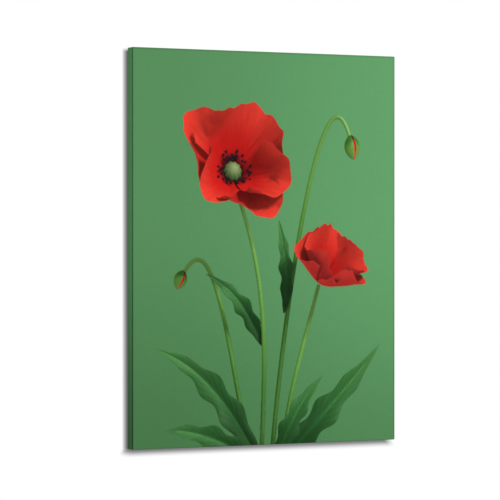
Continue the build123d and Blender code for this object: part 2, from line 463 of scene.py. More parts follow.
@dataclass(frozen=True)
class PrintedCloth:
    """Ink on primed cloth: the print's own colours, with the weave showing through, and painted shade in the
    weave's dips and along the creases.
    """

    ink_end: float
    bare: Colour
    ink_wander: float = 0.0009
    wander_scale: float = 260.0
    ink_soft: float = 0.00012
    thread_pitch: float = 0.00078
    slub: float = 0.5
    weave_depth: float = 0.00016
    weave_range: Range = (0.2, 1.1)
    weave_tone: float = 0.13
    fold_tint: Colour = (0.03, 0.15, 0.03)
    roughness: Range = (0.66, 0.82)
    specular: float = 0.06

    def material(self, name: str) -> bpy.types.Material:
        """Build the material.

        Args:
            name: The material's name.

        Returns:
            The new material.
        """
        material, sheet, shader = new_material(name)
        ink = sheet.add("ShaderNodeVertexColor", layer_name=PRINT_LAYER)
        cloth = sheet.add("ShaderNodeUVMap", uv_map=CLOTH_MAP).outputs[0]
        weave = PlainWeave().place(sheet, {"Cloth": cloth, "Pitch": self.thread_pitch, "Slub": self.slub})
        past = sheet.add("ShaderNodeAttribute", attribute_name=PAST_LAYER).outputs["Fac"]
        wander = sheet.math("MULTIPLY", sheet.noise(cloth, self.wander_scale, detail=3.0), self.ink_wander)
        edge = sheet.math("ADD", past, wander)
        bare = sheet.span(edge, self.ink_end - self.ink_soft, self.ink_end + self.ink_soft)
        dyed = sheet.mix(bare, ink.outputs["Color"], self.bare)
        # The weave's dips get painted shade and its crowns a faint painted highlight.
        tone = sheet.span(weave["Height"], *self.weave_range, 1 - self.weave_tone, 1 + self.weave_tone / 2)
        thread_shading = sheet.add("ShaderNodeCombineColor", {0: tone, 1: tone, 2: tone})
        woven = sheet.mix(1.0, dyed, thread_shading.outputs[0], "MULTIPLY")
        # Painted shade along the creases: the print's alpha says how deep it is.
        crease_shaded = sheet.mix(1.0, woven, self.fold_tint, "MULTIPLY")
        colour = sheet.mix(ink.outputs["Alpha"], woven, crease_shaded)
        rough = sheet.span(weave["Fleck"], *NOISE_RANGE, *self.roughness)
        sheet.paint(shader, colour, rough, sheet.bump(weave["Height"], self.weave_depth))
        shader.inputs["Specular IOR Level"].default_value = self.specular
        return material


@dataclass(frozen=True)
class RawCloth:
    """The unprinted back of the cloth."""

    thread_pitch: float = 0.00078
    slub: float = 0.7
    weave_depth: float = 0.0002
    weave_range: Range = (0.1, 1.0)
    pale: Colour = linear(233, 226, 209)
    shade: Colour = linear(204, 194, 172)
    fleck: Colour = linear(128, 106, 76)
    fleck_range: Quad = (0.66, 0.72, 0.0, 0.5)
    roughness: Range = (0.82, 0.94)
    sheen: float = 0.15

    def material(self, name: str) -> bpy.types.Material:
        """Build the material.

        Args:
            name: The material's name.

        Returns:
            The new material.
        """
        material, sheet, shader = new_material(name)
        cloth = sheet.add("ShaderNodeUVMap", uv_map=CLOTH_MAP).outputs[0]
        weave = PlainWeave().place(sheet, {"Cloth": cloth, "Pitch": self.thread_pitch, "Slub": self.slub})
        # The weave's dips get painted shade: the shade colour, against the pale crowns.
        threads = sheet.mix(sheet.span(weave["Height"], *self.weave_range), self.shade, self.pale)
        colour = sheet.mix(sheet.span(weave["Fleck"], *self.fleck_range), threads, self.fleck)
        rough = sheet.span(weave["Fleck"], *NOISE_RANGE, *self.roughness)
        sheet.paint(shader, colour, rough, sheet.bump(weave["Height"], self.weave_depth))
        shader.inputs["Sheen Weight"].default_value = self.sheen
        return material


@dataclass(frozen=True)
class LooseThread:
    """A thread that has come out of the cloth."""

    pale: Colour = linear(241, 236, 222)
    shade: Colour = linear(214, 204, 182)
    patch_scale: float = 700.0
    patch_share: float = 0.7
    fibre_scale: float = 9000.0
    fibre_share: float = 0.3
    shade_range: Range = (0.4, 0.66)
    fuzz_depth: float = 0.00004
    roughness: Range = (0.84, 0.96)

    def material(self, name: str) -> bpy.types.Material:
        """Build the material.

        Args:
            name: The material's name.

        Returns:
            The new material.
        """
        material, sheet, shader = new_material(name)
        place = sheet.add("ShaderNodeTexCoord").outputs["Object"]
        fibres = sheet.noise(place, self.fibre_scale, rough=0.6)
        worn = sheet.blend(sheet.noise(place, self.patch_scale), self.patch_share, fibres, self.fibre_share)
        colour = sheet.mix(sheet.span(worn, *self.shade_range), self.pale, self.shade)
        rough = sheet.span(fibres, *NOISE_RANGE, *self.roughness)
        sheet.paint(shader, colour, rough, sheet.bump(fibres, self.fuzz_depth))
        return material


@dataclass(frozen=True)
class Timber:
    """A planed softwood or hardwood."""

    pale: Colour
    dark: Colour
    knot: Colour
    ring: float
    knots: float
    roughness: Range
    fibre_depth: float = 0.00008

    def material(self, name: str, run: Run, shift: Vector, lean: float) -> bpy.types.Material:
        """Build the material for one piece.

        Args:
            name: The material's name.
            run: The piece's long direction.
            shift: Which stretch of the plank the piece was cut from.
            lean: How far the saw's cut leaned from the grain.

        Returns:
            The new material.
        """
        material, sheet, shader = new_material(name)
        place = sheet.add("ShaderNodeTexCoord").outputs["Object"]
        turn = Vector(run.value) + Vector((0, lean, lean / 3))
        plank = sheet.add("ShaderNodeMapping", {0: place, "Location": shift, "Rotation": turn})
        wood = PineGrain().place(sheet, {
            "Plank": plank.outputs[0],
            "Ring": self.ring,
            "Pale": self.pale,
            "Dark": self.dark,
            "Knot": self.knot,
            "Knots": self.knots,
        })
        rough = sheet.span(wood["Fibre"], *NOISE_RANGE, *self.roughness)
        sheet.paint(shader, wood["Color"], rough, sheet.bump(wood["Fibre"], self.fibre_depth))
        return material


@dataclass(frozen=True)
class Plating:
    """A plated or bare metal."""

    bright: Colour
    dull: Colour
    roughness: Range
    grain: float
    patch_range: Range = (0.38, 0.62)
    rough_range: Range = (0.35, 0.65)
    scratch_share: float = 0.4
    coat_depth: float = 0.00003

    def material(self, name: str) -> bpy.types.Material:
        """Build the material.

        Args:
            name: The material's name.

        Returns:
            The new material.
        """
        material, sheet, shader = new_material(name)
        place = sheet.add("ShaderNodeTexCoord").outputs["Object"]
        wear = PlatedWear().place(sheet, {"Spot": place, "Grain": self.grain})
        patchy = sheet.mix(sheet.span(wear["Dull"], *self.patch_range), self.bright, self.dull)
        colour = sheet.mix(sheet.math("MULTIPLY", wear["Scratch"], self.scratch_share), patchy, self.dull)
        rough = sheet.span(wear["Dull"], *self.rough_range, *self.roughness)
        sheet.paint(shader, colour, rough, sheet.bump(wear["Height"], self.coat_depth))
        shader.inputs["Metallic"].default_value = 1.0
        return material


@dataclass(frozen=True)
class Pigment:
    """How one kind of petal, leaf or stem of the print is coloured, from its root to its tip."""

    root: Colour
    middle: Colour
    tip: Colour
    under: Colour
    root_end: float = 0.2
    root_soft: Range = (0.5, 1.4)
    tip_start: float = 0.35
    veins: int = 14
    vein_waver: float = 2.2
    waver_rates: Range = (7.0, 5.0)
    branches: int = 0
    branch_slant: float = 2.6
    branch_bow: float = 0.8
    vein_depth: float = 0.12
    vein_fade: float = 0.4
    rib: float = 0.0
    rib_width: float = 0.12
    glow: float = 0.3
    gloss: float = 0.0

    def at(self, along: float, across: float) -> Vector:
        """Give the colour of a point.

        Args:
            along: From 0 at the root to 1 at the tip.
            across: From -1 at one edge to 1 at the other.

        Returns:
            The colour in linear light.
        """
        start, end = (self.root_end * share for share in self.root_soft)
        body = Vector(self.middle).lerp(Vector(self.tip), float(smooth(self.tip_start, 1.0, along)))
        colour = Vector(self.root).lerp(body, float(smooth(start, end, along)))
        if self.branches:
            phase = math.tau * (self.branches * along - self.branch_slant * abs(across) ** self.branch_bow)
        else:
            waver = self.waver_rates[0] * along + self.waver_rates[1] * across
            phase = math.pi * self.veins * across + self.vein_waver * math.sin(waver)
        wave = 0.5 + 0.5 * math.cos(phase)
        colour *= 1 - self.vein_depth * wave * (1 - self.vein_fade * along)
        return colour * (1 + self.rib * math.exp(-(across / self.rib_width) ** 2))


@dataclass(frozen=True)
class Palette:
    """The print's colours, by what they are on."""

    petal: Pigment = Pigment(
        root=linear(52, 8, 14),
        middle=linear(206, 26, 22),
        tip=linear(236, 62, 48),
        under=linear(212, 56, 54),
        root_end=0.24,
        veins=15,
        vein_depth=0.14,
        glow=0.30,
    )
    leaf: Pigment = Pigment(
        root=linear(28, 70, 28),
        middle=linear(44, 98, 46),
        tip=linear(66, 122, 62),
        under=linear(92, 142, 88),
        root_end=0.42,
        vein_depth=0.30,
        branches=13,
        rib=0.65,
        glow=0.20,
        gloss=0.07,
    )
    stem: Pigment = Pigment(
        root=linear(60, 108, 36),
        middle=linear(92, 148, 58),
        tip=linear(116, 164, 80),
        under=linear(92, 146, 60),
        root_end=0.42,
        veins=6,
        vein_depth=0.10,
        glow=0.10,
        gloss=0.22,
    )
    eye: Pigment = Pigment(
        root=linear(70, 92, 48),
        middle=linear(118, 142, 84),
        tip=linear(150, 168, 110),
        under=linear(70, 92, 48),
        veins=10,
        vein_depth=0.35,
        glow=0.0,
    )
    anther: Colour = linear(38, 26, 36)


@dataclass
class StillLife:
    """The flowers that the print shows, modelled as bent grids and lit like a studio photograph."""

    lamp_from: Triple = (0.50, -0.62, 0.60)
    lamp_strength: float = 0.86
    lamp_wrap: float = 0.35
    lamp_spread: float = 0.09
    sky_strength: float = 0.40
    sky_rays: int = 14
    sky_reach: float = 0.07
    shade_left: float = 0.18
    glow_start: float = 0.2
    shine: Colour = (0.50, 0.95, 0.46)
    shine_power: int = 16
    lift: float = 0.0006
    under_share: float = 0.55
    viewer: float = -1.0

    def __post_init__(self) -> None:
        """Start with nothing on the table."""
        self.lamp = Vector(self.lamp_from).normalized()
        self.mesh = bmesh.new()
        layers = self.mesh.verts.layers
        self.face_tint = layers.float_vector.new("face_tint")
        self.under_tint = layers.float_vector.new("under_tint")
        self.glow = layers.float.new("glow")
        self.gloss = layers.float.new("gloss")

    def bend(self, steps: Steps, place: Formula, pigment: Pigment) -> None:
        """Add a grid that a formula bends into shape.

        Args:
            steps: Steps from root to tip, and from edge to edge.
            place: The formula: where a point goes, by its share along and across.
            pigment: Its colours.
        """
        made = bmesh.ops.create_grid(self.mesh, x_segments=steps[0], y_segments=steps[1], size=1.0)
        for vertex in made["verts"]:
            share, edge = (vertex.co.x + 1) / 2, vertex.co.y
            tint = pigment.at(share, edge)
            vertex[self.face_tint] = tint
            vertex[self.under_tint] = tint.lerp(Vector(pigment.under), self.under_share)
            vertex[self.glow] = pigment.glow
            vertex[self.gloss] = pigment.gloss
            vertex.co = place(share, edge)

    def bead(self, centre: Vector, radius: float, colour: Colour) -> None:
        """Add a small ball, such as an anther.

        Args:
            centre: Its middle.
            radius: Its radius.
            colour: Its colour.
        """
        made = bmesh.ops.create_icosphere(self.mesh, subdivisions=2, radius=radius)
        for vertex in made["verts"]:
            vertex.co += centre
            vertex[self.face_tint] = Vector(colour)
            vertex[self.under_tint] = Vector(colour)

    def lit(self) -> np.ndarray:
        """Light every point of the still life.

        Returns:
            One colour in linear light for each vertex.
        """
        golden = math.pi * (3 - math.sqrt(5))
        turns = [golden * step for step in range(self.sky_rays)]
        rises = [math.sqrt((step + 0.5) / self.sky_rays) for step in range(self.sky_rays)]
        sky = [(math.cos(t) * r, math.sin(t) * r, math.sqrt(1 - r * r)) for t, r in zip(turns, rises)]
        beside = self.lamp.orthogonal().normalized()
        beyond = self.lamp.cross(beside)
        corners = ((1, 0), (-1, 0), (0, 1), (0, -1))
        lamps = [(self.lamp + (beside * a + beyond * b) * self.lamp_spread).normalized() for a, b in corners]
        mirror = (self.lamp - AWAY).normalized()
        colours = np.empty((len(self.mesh.verts), 3))
        for vertex in self.mesh.verts:
            seen = vertex.normal.y < 0
            normal = vertex.normal if seen else -vertex.normal
            tint = vertex[self.face_tint] if seen else vertex[self.under_tint]
            start = vertex.co + normal * self.lift
            first = normal.orthogonal().normalized()
            second = normal.cross(first)
            hits = 0
            for a, b, c in sky:
                ray = first * a + second * b + normal * c
                hits += self.tree.ray_cast(start, ray, self.sky_reach)[0] is not None
            hidden = sum(self.tree.ray_cast(start, lamp)[0] is not None for lamp in lamps) / len(lamps)
            facing = normal.dot(self.lamp)
            direct = max(0.0, (facing + self.lamp_wrap) / (1 + self.lamp_wrap))
            direct *= 1 - hidden * (1 - self.shade_left)
            through = vertex[self.glow] * max(0.0, -facing + self.glow_start)
            open_sky = 1 - hits / self.sky_rays
            level = self.sky_strength * open_sky + self.lamp_strength * direct + through
            shine = vertex[self.gloss] * max(0.0, normal.dot(mirror)) ** self.shine_power * (1 - hidden)
            colours[vertex.index] = tint * level + Vector(self.shine) * shine
        return colours

    def settle(self) -> None:
        """Light the finished still life, and make it ready to be looked at."""
        bmesh.ops.triangulate(self.mesh, faces=self.mesh.faces[:])
        self.mesh.normal_update()
        self.mesh.verts.index_update()
        self.tree = BVHTree.FromBMesh(self.mesh)
        self.colours = self.lit()
        self.corners = np.array([[v.index for v in face.verts] for face in self.mesh.faces])
        self.points = np.array([v.co[:] for v in self.mesh.verts])
        self.mesh.free()

    def seen(self, spots: np.ndarray) -> tuple[np.ndarray, np.ndarray]:
        """Look straight at the still life from the front.

        Args:
            spots: One row for each line of sight, with its X and Z.

        Returns:
            The colours that are seen, and a mask of the spots where anything is.
        """
        faces = np.full(len(spots), -1)
        places = np.zeros((len(spots), 3))
        for row, (x, z) in enumerate(spots):
            place, _, face, _ = self.tree.ray_cast(Vector((x, self.viewer, z)), AWAY)
            if face is not None:
                faces[row] = face
                places[row] = place
        hit = faces >= 0
        corners, places = self.corners[faces[hit]], places[hit]
        a, b, c = (self.points[corners[:, k]] for k in range(3))
        whole = np.linalg.norm(np.cross(b - a, c - a), axis=1)
        share_a = np.linalg.norm(np.cross(b - places, c - places), axis=1) / whole
        share_b = np.linalg.norm(np.cross(c - places, a - places), axis=1) / whole
        shares = np.stack([share_a, share_b, np.clip(1 - share_a - share_b, 0, 1)], axis=1)
        shown = np.zeros((len(spots), 3))
        shown[hit] = (self.colours[corners] * shares[..., None]).sum(axis=1)
        return shown, hit


@dataclass(frozen=True)
class Curve:
    """A curve through space with four control points."""

    points: tuple[Vector, Vector, Vector, Vector]
    step: float = 0.01

    @classmethod
    def by(cls, *points: Triple) -> "Curve":
        """Make a curve from its four control points."""
        return cls(tuple(Vector(point) for point in points))

    def at(self, share: float) -> Vector:
        """Give a point of the curve.

        Args:
            share: How far along it lies, from 0 to 1.

        Returns:
            The point.
        """
        a, b, c, d = self.points
        rest = 1 - share
        return a * rest**3 + b * (3 * share * rest**2) + c * (3 * share**2 * rest) + d * share**3

    def heading(self, share: float) -> Vector:
        """Give the direction at a share of the way along."""
        return (self.at(min(share + self.step, 1.0)) - self.at(max(share - self.step, 0.0))).normalized()

    def sides(self, share: float) -> tuple[Vector, Vector]:
        """Give the directions across the curve.

        Args:
            share: How far along, from 0 to 1.

        Returns:
            The directions to the curve's side and to its front, as seen by the viewer.
        """
        heading = self.heading(share)
        side = heading.cross(AWAY).normalized()
        return side, side.cross(heading)


class Motif:
    """A stem, leaf, bud or flower of the print."""

    def draw(self, still: StillLife, palette: Palette) -> None:
        """Add the motif to the still life.

        Args:
            still: The still life.
            palette: The print's colours.
        """
        raise NotImplementedError


@dataclass
class Stem(Motif):
    """A round stem along a curve."""

    line: Curve
    radius: float = 0.0036
    foot: float = 1.12
    taper: float = 0.25
    steps: Steps = (70, 12)

    def place(self, share: float, edge: float) -> Vector:
        """Give where a point of the stem goes.

        Args:
            share: From 0 at its foot to 1 at its top.
            edge: From -1 to 1, once round it.

        Returns:
            The place.
        """
        side, near = self.line.sides(share)
        turn = math.pi * edge
        ring = side * math.cos(turn) + near * math.sin(turn)
        return self.line.at(share) + ring * self.radius * (self.foot - self.taper * share)

    def draw(self, still: StillLife, palette: Palette) -> None:
        """Add the stem to the still life."""
        still.bend(self.steps, self.place, palette.stem)


@dataclass
class Leaf(Motif):
    """A long lobed leaf along a curve, folded towards the viewer along its rib."""

    line: Curve
    width: float
    fold: float
    seed: int
    widest: float = 0.8
    fullness: float = 0.9
    lobe: float = 0.22
    lobe_rate: float = 26.0
    fold_steep: float = 1.5
    fold_ease: float = 0.9
    ripple: float = 0.28
    ripple_rate: float = 9.0
    steps: Steps = (90, 22)

    def __post_init__(self) -> None:
        """Draw which way the leaf ripples."""
        self.phase = random.Random(self.seed).uniform(0, math.tau)

    def place(self, share: float, edge: float) -> Vector:
        """Give where a point of the leaf goes.

        Args:
            share: From 0 at its root to 1 at its tip.
            edge: From -1 at one edge to 1 at the other.

        Returns:
            The place.
        """
        side, near = self.line.sides(share)
        wave = math.sin(self.lobe_rate * share + self.phase)
        lobes = 1 + self.lobe * wave * abs(edge) * math.sin(math.pi * share)
        reach = self.width * math.sin(math.pi * share**self.widest) ** self.fullness * lobes * edge
        rise = self.fold * abs(reach) * (self.fold_steep - self.fold_ease * abs(edge))
        rise += self.ripple * reach * math.sin(self.ripple_rate * share + self.phase)
        return self.line.at(share) + side * reach - near * rise

    def draw(self, still: StillLife, palette: Palette) -> None:
        """Add the leaf to the still life."""
        still.bend(self.steps, self.place, palette.leaf)


@dataclass
class Bud(Motif):
    """A nodding bud whose two halves show a line of red."""

    base: Vector
    heading: Vector
    length: float
    girth: float = 0.36
    fullness: float = 0.62
    ends: Range = (0.97, 0.02)
    heart: float = 0.94
    gap: float = 0.16
    lean: float = -1.15
    heart_steps: Steps = (30, 40)
    half_steps: Steps = (30, 30)

    def __post_init__(self) -> None:
        """Work out the directions across the bud."""
        self.heading = self.heading.normalized()
        self.right = self.heading.cross(AWAY).normalized()
        self.near = self.right.cross(self.heading)

    def place(self, start: float, end: float, swell: float, share: float, edge: float) -> Vector:
        """Give where a point of one of the bud's hulls goes.

        Args:
            start: The turn at which the hull starts.
            end: The turn at which it ends.
            swell: How full it is.
            share: From 0 at the bud's base to 1 at its tip.
            edge: From -1 at the hull's start to 1 at its end.

        Returns:
            The place.
        """
        turn = start + (end - start) * (0.5 + 0.5 * edge)
        along = math.pi * min(share * self.ends[0] + self.ends[1], 1)
        girth = swell * self.girth * self.length * math.sin(along) ** self.fullness
        flat = self.right * math.cos(turn) + self.near * math.sin(turn)
        return self.base + self.heading * self.length * share + flat * girth

    def draw(self, still: StillLife, palette: Palette) -> None:
        """Add the red heart and the two green halves to the still life.

        Args:
            still: The still life.
            palette: The print's colours.
        """
        still.bend(self.heart_steps, partial(self.place, 0.0, math.tau, self.heart), palette.petal)
        for start in (self.lean, self.lean + math.pi):
            half = partial(self.place, start + self.gap, start + math.pi - self.gap, 1.0)
            still.bend(self.half_steps, half, palette.stem)


@dataclass
class Petal:
    """One crinkled petal, as its flower sets it."""

    centre: Vector
    facing: Vector
    out: Vector
    size: float
    row: int
    opening: float
    curl: float
    spread: float
    phases: list[float]
    rim_fall: float = 0.20
    rim_waves: tuple[Triple, Triple] = ((0.035, 5.0, 2.0), (0.014, 17.0, 4.0))
    cup: float = 0.20
    cup_rate: float = 3.4
    crinkles: tuple[Quad, Quad] = ((0.020, 13.0, 2.0, 2.0), (0.010, 29.0, 5.0, 3.0))
    row_gap: float = 0.03

    def __post_init__(self) -> None:
        """Work out the direction across the petal."""
        self.aside = self.facing.cross(self.out)

    def place(self, share: float, edge: float) -> Vector:
        """Give where a point of the petal goes.

        Args:
            share: From 0 at its root to 1 at its rim.
            edge: From -1 at one side to 1 at the other.

        Returns:
            The place.
        """
        rim = 1 - self.rim_fall * abs(edge) ** 3
        for phase, (depth, rate, power) in zip(self.phases, self.rim_waves):
            rim += depth * math.sin(rate * edge + phase) * share**power
        crinkle = 0.0
        for phase, (depth, rate, slant, power) in zip((self.phases[3], self.phases[0]), self.crinkles):
            crinkle += depth * share**power * math.sin(rate * edge + phase + slant * share)
        reach = self.size * share * rim
        rise = self.opening + self.curl * share
        rise += self.cup * share**2 * math.sin(self.cup_rate * edge + self.phases[2])
        fan = self.spread * edge
        level = (self.out * math.cos(fan) + self.aside * math.sin(fan)) * math.cos(rise)
        lift = reach * math.sin(rise) + self.size * crinkle + self.row_gap * self.size * self.row
        return self.centre + level * reach + self.facing * lift


@dataclass
class Blossom(Motif):
    """One open flower: rows of crinkled petals round a seed head and its anthers."""

    centre: Vector
    facing: Vector
    radius: float
    opening: float
    curl: float
    turn: float
    seed: int
    anthers: int
    petals: int = 6
    spread: float = 0.98
    petal_sizes: Range = (0.93, 1.05)
    petal_sway: float = 0.12
    row_opening: float = 0.16
    opening_sway: float = 0.06
    head: float = 0.13
    head_ridge: float = 0.06
    head_ridges: int = 10
    head_rise: float = 1.2
    head_lift: float = 0.7
    anther_reach: Range = (1.25, 2.5)
    anther_lift: Range = (0.7, 1.7)
    anther_size: float = 0.16
    petal_steps: Steps = (44, 56)
    head_steps: Steps = (12, 40)

    def __post_init__(self) -> None:
        """Work out the directions across the flower and its seed head's size."""
        self.facing = self.facing.normalized()
        self.right = self.facing.cross(UP).normalized()
        self.over = self.right.cross(self.facing)
        self.head_radius = self.head * self.radius

    def around(self, turn: float) -> Vector:
        """Give the direction outwards at a turn round the flower."""
        return self.right * math.cos(turn) + self.over * math.sin(turn)

    def petal(self, number: int) -> Petal:
        """Set one petal.

        Args:
            number: The petal's number, from the outer row inwards.

        Returns:
            The petal.
        """
        draw = random.Random(self.seed * 100 + number)
        phases = [draw.uniform(0, math.tau) for _ in range(4)]
        size = self.radius * draw.uniform(*self.petal_sizes)
        row = 2 * number // self.petals
        in_row = self.petals / 2
        heading = self.turn + math.tau * (number % in_row) / in_row + row * math.pi / in_row
        heading += draw.uniform(-self.petal_sway, self.petal_sway)
        opening = self.opening + row * self.row_opening + draw.uniform(-self.opening_sway, self.opening_sway)
        return Petal(
            centre=self.centre,
            facing=self.facing,
            out=self.around(heading),
            size=size,
            row=row,
            opening=opening,
            curl=self.curl,
            spread=self.spread,
            phases=phases,
        )

    def dome(self, share: float, edge: float) -> Vector:
        """Give where a point of the seed head goes.

        Args:
            share: From 0 at its foot to 1 at its top.
            edge: From -1 to 1, once round it.

        Returns:
            The place.
        """
        turn, fall = math.pi * edge, share * math.pi / 2
        ridge = 1 + self.head_ridge * math.cos(self.head_ridges * turn)
        flat = self.around(turn) * math.cos(fall) * ridge
        lift = self.facing * (self.head_rise * math.sin(fall) + self.head_lift)
        return self.centre + (flat + lift) * self.head_radius

    def draw(self, still: StillLife, palette: Palette) -> None:
        """Add the petals, the seed head and the anthers to the still life.

        Args:
            still: The still life.
            palette: The print's colours.
        """
        for number in range(self.petals):
            still.bend(self.petal_steps, self.petal(number).place, palette.petal)
        still.bend(self.head_steps, self.dome, palette.eye)
        draw = random.Random(self.seed)
        for _ in range(self.anthers):
            turn = draw.uniform(0, math.tau)
            flat = self.around(turn) * (draw.uniform(*self.anther_reach) * math.cos(self.opening) ** 3)
            middle = self.centre + (flat + self.facing * draw.uniform(*self.anther_lift)) * self.head_radius
            still.bead(middle, self.head_radius * self.anther_size, palette.anther)


@dataclass(frozen=True)
class FloralPrint:
    """A plain floral print: red field flowers over a soft green ground."""

    half_width: float
    height: float
    palette: Palette = Palette()
    ground_high: Colour = linear(88, 142, 92)
    ground_low: Colour = linear(70, 118, 71)
    ground_lit: Colour = linear(104, 169, 111)
    ground_rise: Range = (-0.08, 0.62)
    lit_range: Range = (0.0, 1.15)
    lit_share: float = 0.82
    lit_foot: float = 0.35
    jitter: tuple[Range, ...] = ((-0.25, -0.4), (0.4, -0.2), (-0.4, 0.25), (0.25, 0.4))

    def ground(self, spots: np.ndarray) -> np.ndarray:
        """Give the soft ground's colours.

        Args:
            spots: Points of the flat sheet, with their X and Z.

        Returns:
            The colours in linear light, one row for each point.
        """
        rise = smooth(*self.ground_rise, spots[:, 1] / self.height)[:, None]
        right = (0.5 + spots[:, 0] / (2 * self.half_width))[:, None]
        colours = np.array(self.ground_low) * (1 - rise) + np.array(self.ground_high) * rise
        lit = self.lit_share * smooth(*self.lit_range, right) * (self.lit_foot + (1 - self.lit_foot) * rise)
        return colours * (1 - lit) + np.array(self.ground_lit) * lit

    def flowers(self) -> tuple[Blossom, Blossom]:
        """Set the open flowers.

        Returns:
            One flower that is seen from the front, and one that is tilted up.
        """
        return (
            Blossom(
                centre=Vector((-0.062, 0.02, 0.412)),
                facing=Vector((0.20, -0.88, 0.36)),
                radius=0.120,
                opening=0.30,
                curl=0.36,
                turn=0.35,
                seed=3,
                anthers=64,
            ),
            Blossom(
                centre=Vector((0.092, 0.06, 0.246)),
                facing=Vector((0.42, -0.56, 0.72)),
                radius=0.090,
                opening=0.42,
                curl=0.34,
                turn=0.55,
                seed=5,
                anthers=0,
            ),
        )

    def stems(self) -> list[Stem]:
        """Set the stems.

        Returns:
            The two flowers' stems, and then the two buds'.
        """
        lines = (
            ((-0.012, 0.05, -0.06), (-0.004, 0.05, 0.12), (0.010, 0.06, 0.25), (-0.062, 0.03, 0.409)),
            ((0.020, 0.06, -0.06), (0.030, 0.07, 0.06), (0.060, 0.08, 0.14), (0.090, 0.07, 0.244)),
            ((0.004, 0.07, -0.06), (0.030, 0.08, 0.24), (0.100, 0.08, 0.62), (0.146, 0.06, 0.470)),
            ((-0.020, 0.08, -0.06), (-0.060, 0.08, 0.10), (-0.085, 0.08, 0.36), (-0.142, 0.07, 0.262)),
        )
        return [Stem(Curve.by(*line)) for line in lines]

    def buds(self) -> tuple[Bud, Bud]:
        """Set the buds.

        Returns:
            The buds.
        """
        return (
            Bud(Vector((0.146, 0.06, 0.476)), Vector((0.16, -0.10, -0.98)), 0.038),
            Bud(Vector((-0.141, 0.07, 0.267)), Vector((-0.40, -0.10, -0.90)), 0.030),
        )

    def leaves(self) -> list[Leaf]:
        """Set the leaves.

        Returns:
            The leaves, in the order of drawing.
        """
        ribs = (
            ((-0.010, 0.03, -0.03), (-0.06, 0.02, 0.05), (-0.10, 0.00, 0.12), (-0.190, 0.01, 0.150)),
            ((0.016, 0.04, -0.04), (0.07, 0.03, 0.02), (0.13, 0.01, 0.07), (0.198, 0.03, 0.150)),
            ((-0.004, 0.02, -0.04), (-0.05, 0.00, 0.00), (-0.12, -0.01, 0.03), (-0.172, 0.01, 0.026)),
            ((-0.007, 0.060, 0.150), (-0.03, 0.05, 0.20), (-0.05, 0.04, 0.235), (-0.104, 0.05, 0.262)),
            ((0.029, 0.075, 0.200), (0.04, 0.06, 0.25), (0.03, 0.05, 0.30), (0.020, 0.06, 0.345)),
            ((0.010, 0.01, -0.04), (0.035, 0.00, 0.02), (0.05, -0.01, 0.06), (0.098, 0.00, 0.104)),
        )
        shapes = ((0.020, 0.5), (0.021, 0.4), (0.018, 0.5), (0.013, 0.6), (0.011, 0.6), (0.016, 0.5))
        cuts = zip(ribs, shapes)
        return [Leaf(Curve.by(*rib), width, fold, seed) for seed, (rib, (width, fold)) in enumerate(cuts)]

    def arrange(self) -> StillLife:
        """Set up the flowers, buds, stems and leaves.

        Returns:
            The lit still life.
        """
        still = StillLife()
        for motif in (*self.flowers(), *self.stems(), *self.buds(), *self.leaves()):
            motif.draw(still, self.palette)
        still.settle()
        return still

    def colours(self, still: StillLife, spots: np.ndarray, pitch: float) -> np.ndarray:
        """Print the picture.

        Args:
            still: The flowers.
            spots: Points of the flat sheet, with their X and Z.
            pitch: The distance between neighbouring points.

        Returns:
            The colours in linear light, one row for each point.
        """
        offsets = np.array(self.jitter) * pitch
        rays = (spots[:, None, :] + offsets[None, :, :]).reshape(-1, 2)
        shown, hit = still.seen(rays)
        layers = np.where(hit[:, None], shown, self.ground(rays))
        return layers.reshape(len(spots), len(offsets), 3).mean(axis=1)


def new_piece(mesh: bmesh.types.BMesh, name: str, material: bpy.types.Material) -> bpy.types.Object:
    """Turn a finished mesh into a smooth object at the origin.

    Args:
        mesh: The mesh, which is used up.
        name: The object's name.
        material: Its material.

    Returns:
        The new object.
    """
    for face in mesh.faces:
        face.smooth = True
    data = bpy.data.meshes.new(name)
    mesh.to_mesh(data)
    mesh.free()
    data.materials.append(material)
    piece = bpy.data.objects.new(name, data)
    bpy.context.scene.collection.objects.link(piece)
    log.info("%s: %d faces", name, len(data.polygons))
    return piece


def draw_out(
    mesh: bmesh.types.BMesh,
    edges: list[bmesh.types.BMEdge],
    move: Vector,
) -> tuple[list[bmesh.types.BMVert], list[bmesh.types.BMEdge]]:
    """Extrude a line of edges.

    Args:
        mesh: The mesh.
        edges: The edges.
        move: How far they go.

    Returns:
        The new line's vertices and edges.
    """
    made = bmesh.ops.extrude_edge_only(mesh, edges=edges)["geom"]
    verts = [item for item in made if isinstance(item, bmesh.types.BMVert)]
    bmesh.ops.translate(mesh, vec=move, verts=verts)
    ends = set(verts)
    line = [item for item in made if isinstance(item, bmesh.types.BMEdge) and ends.issuperset(item.verts)]
    return verts, line


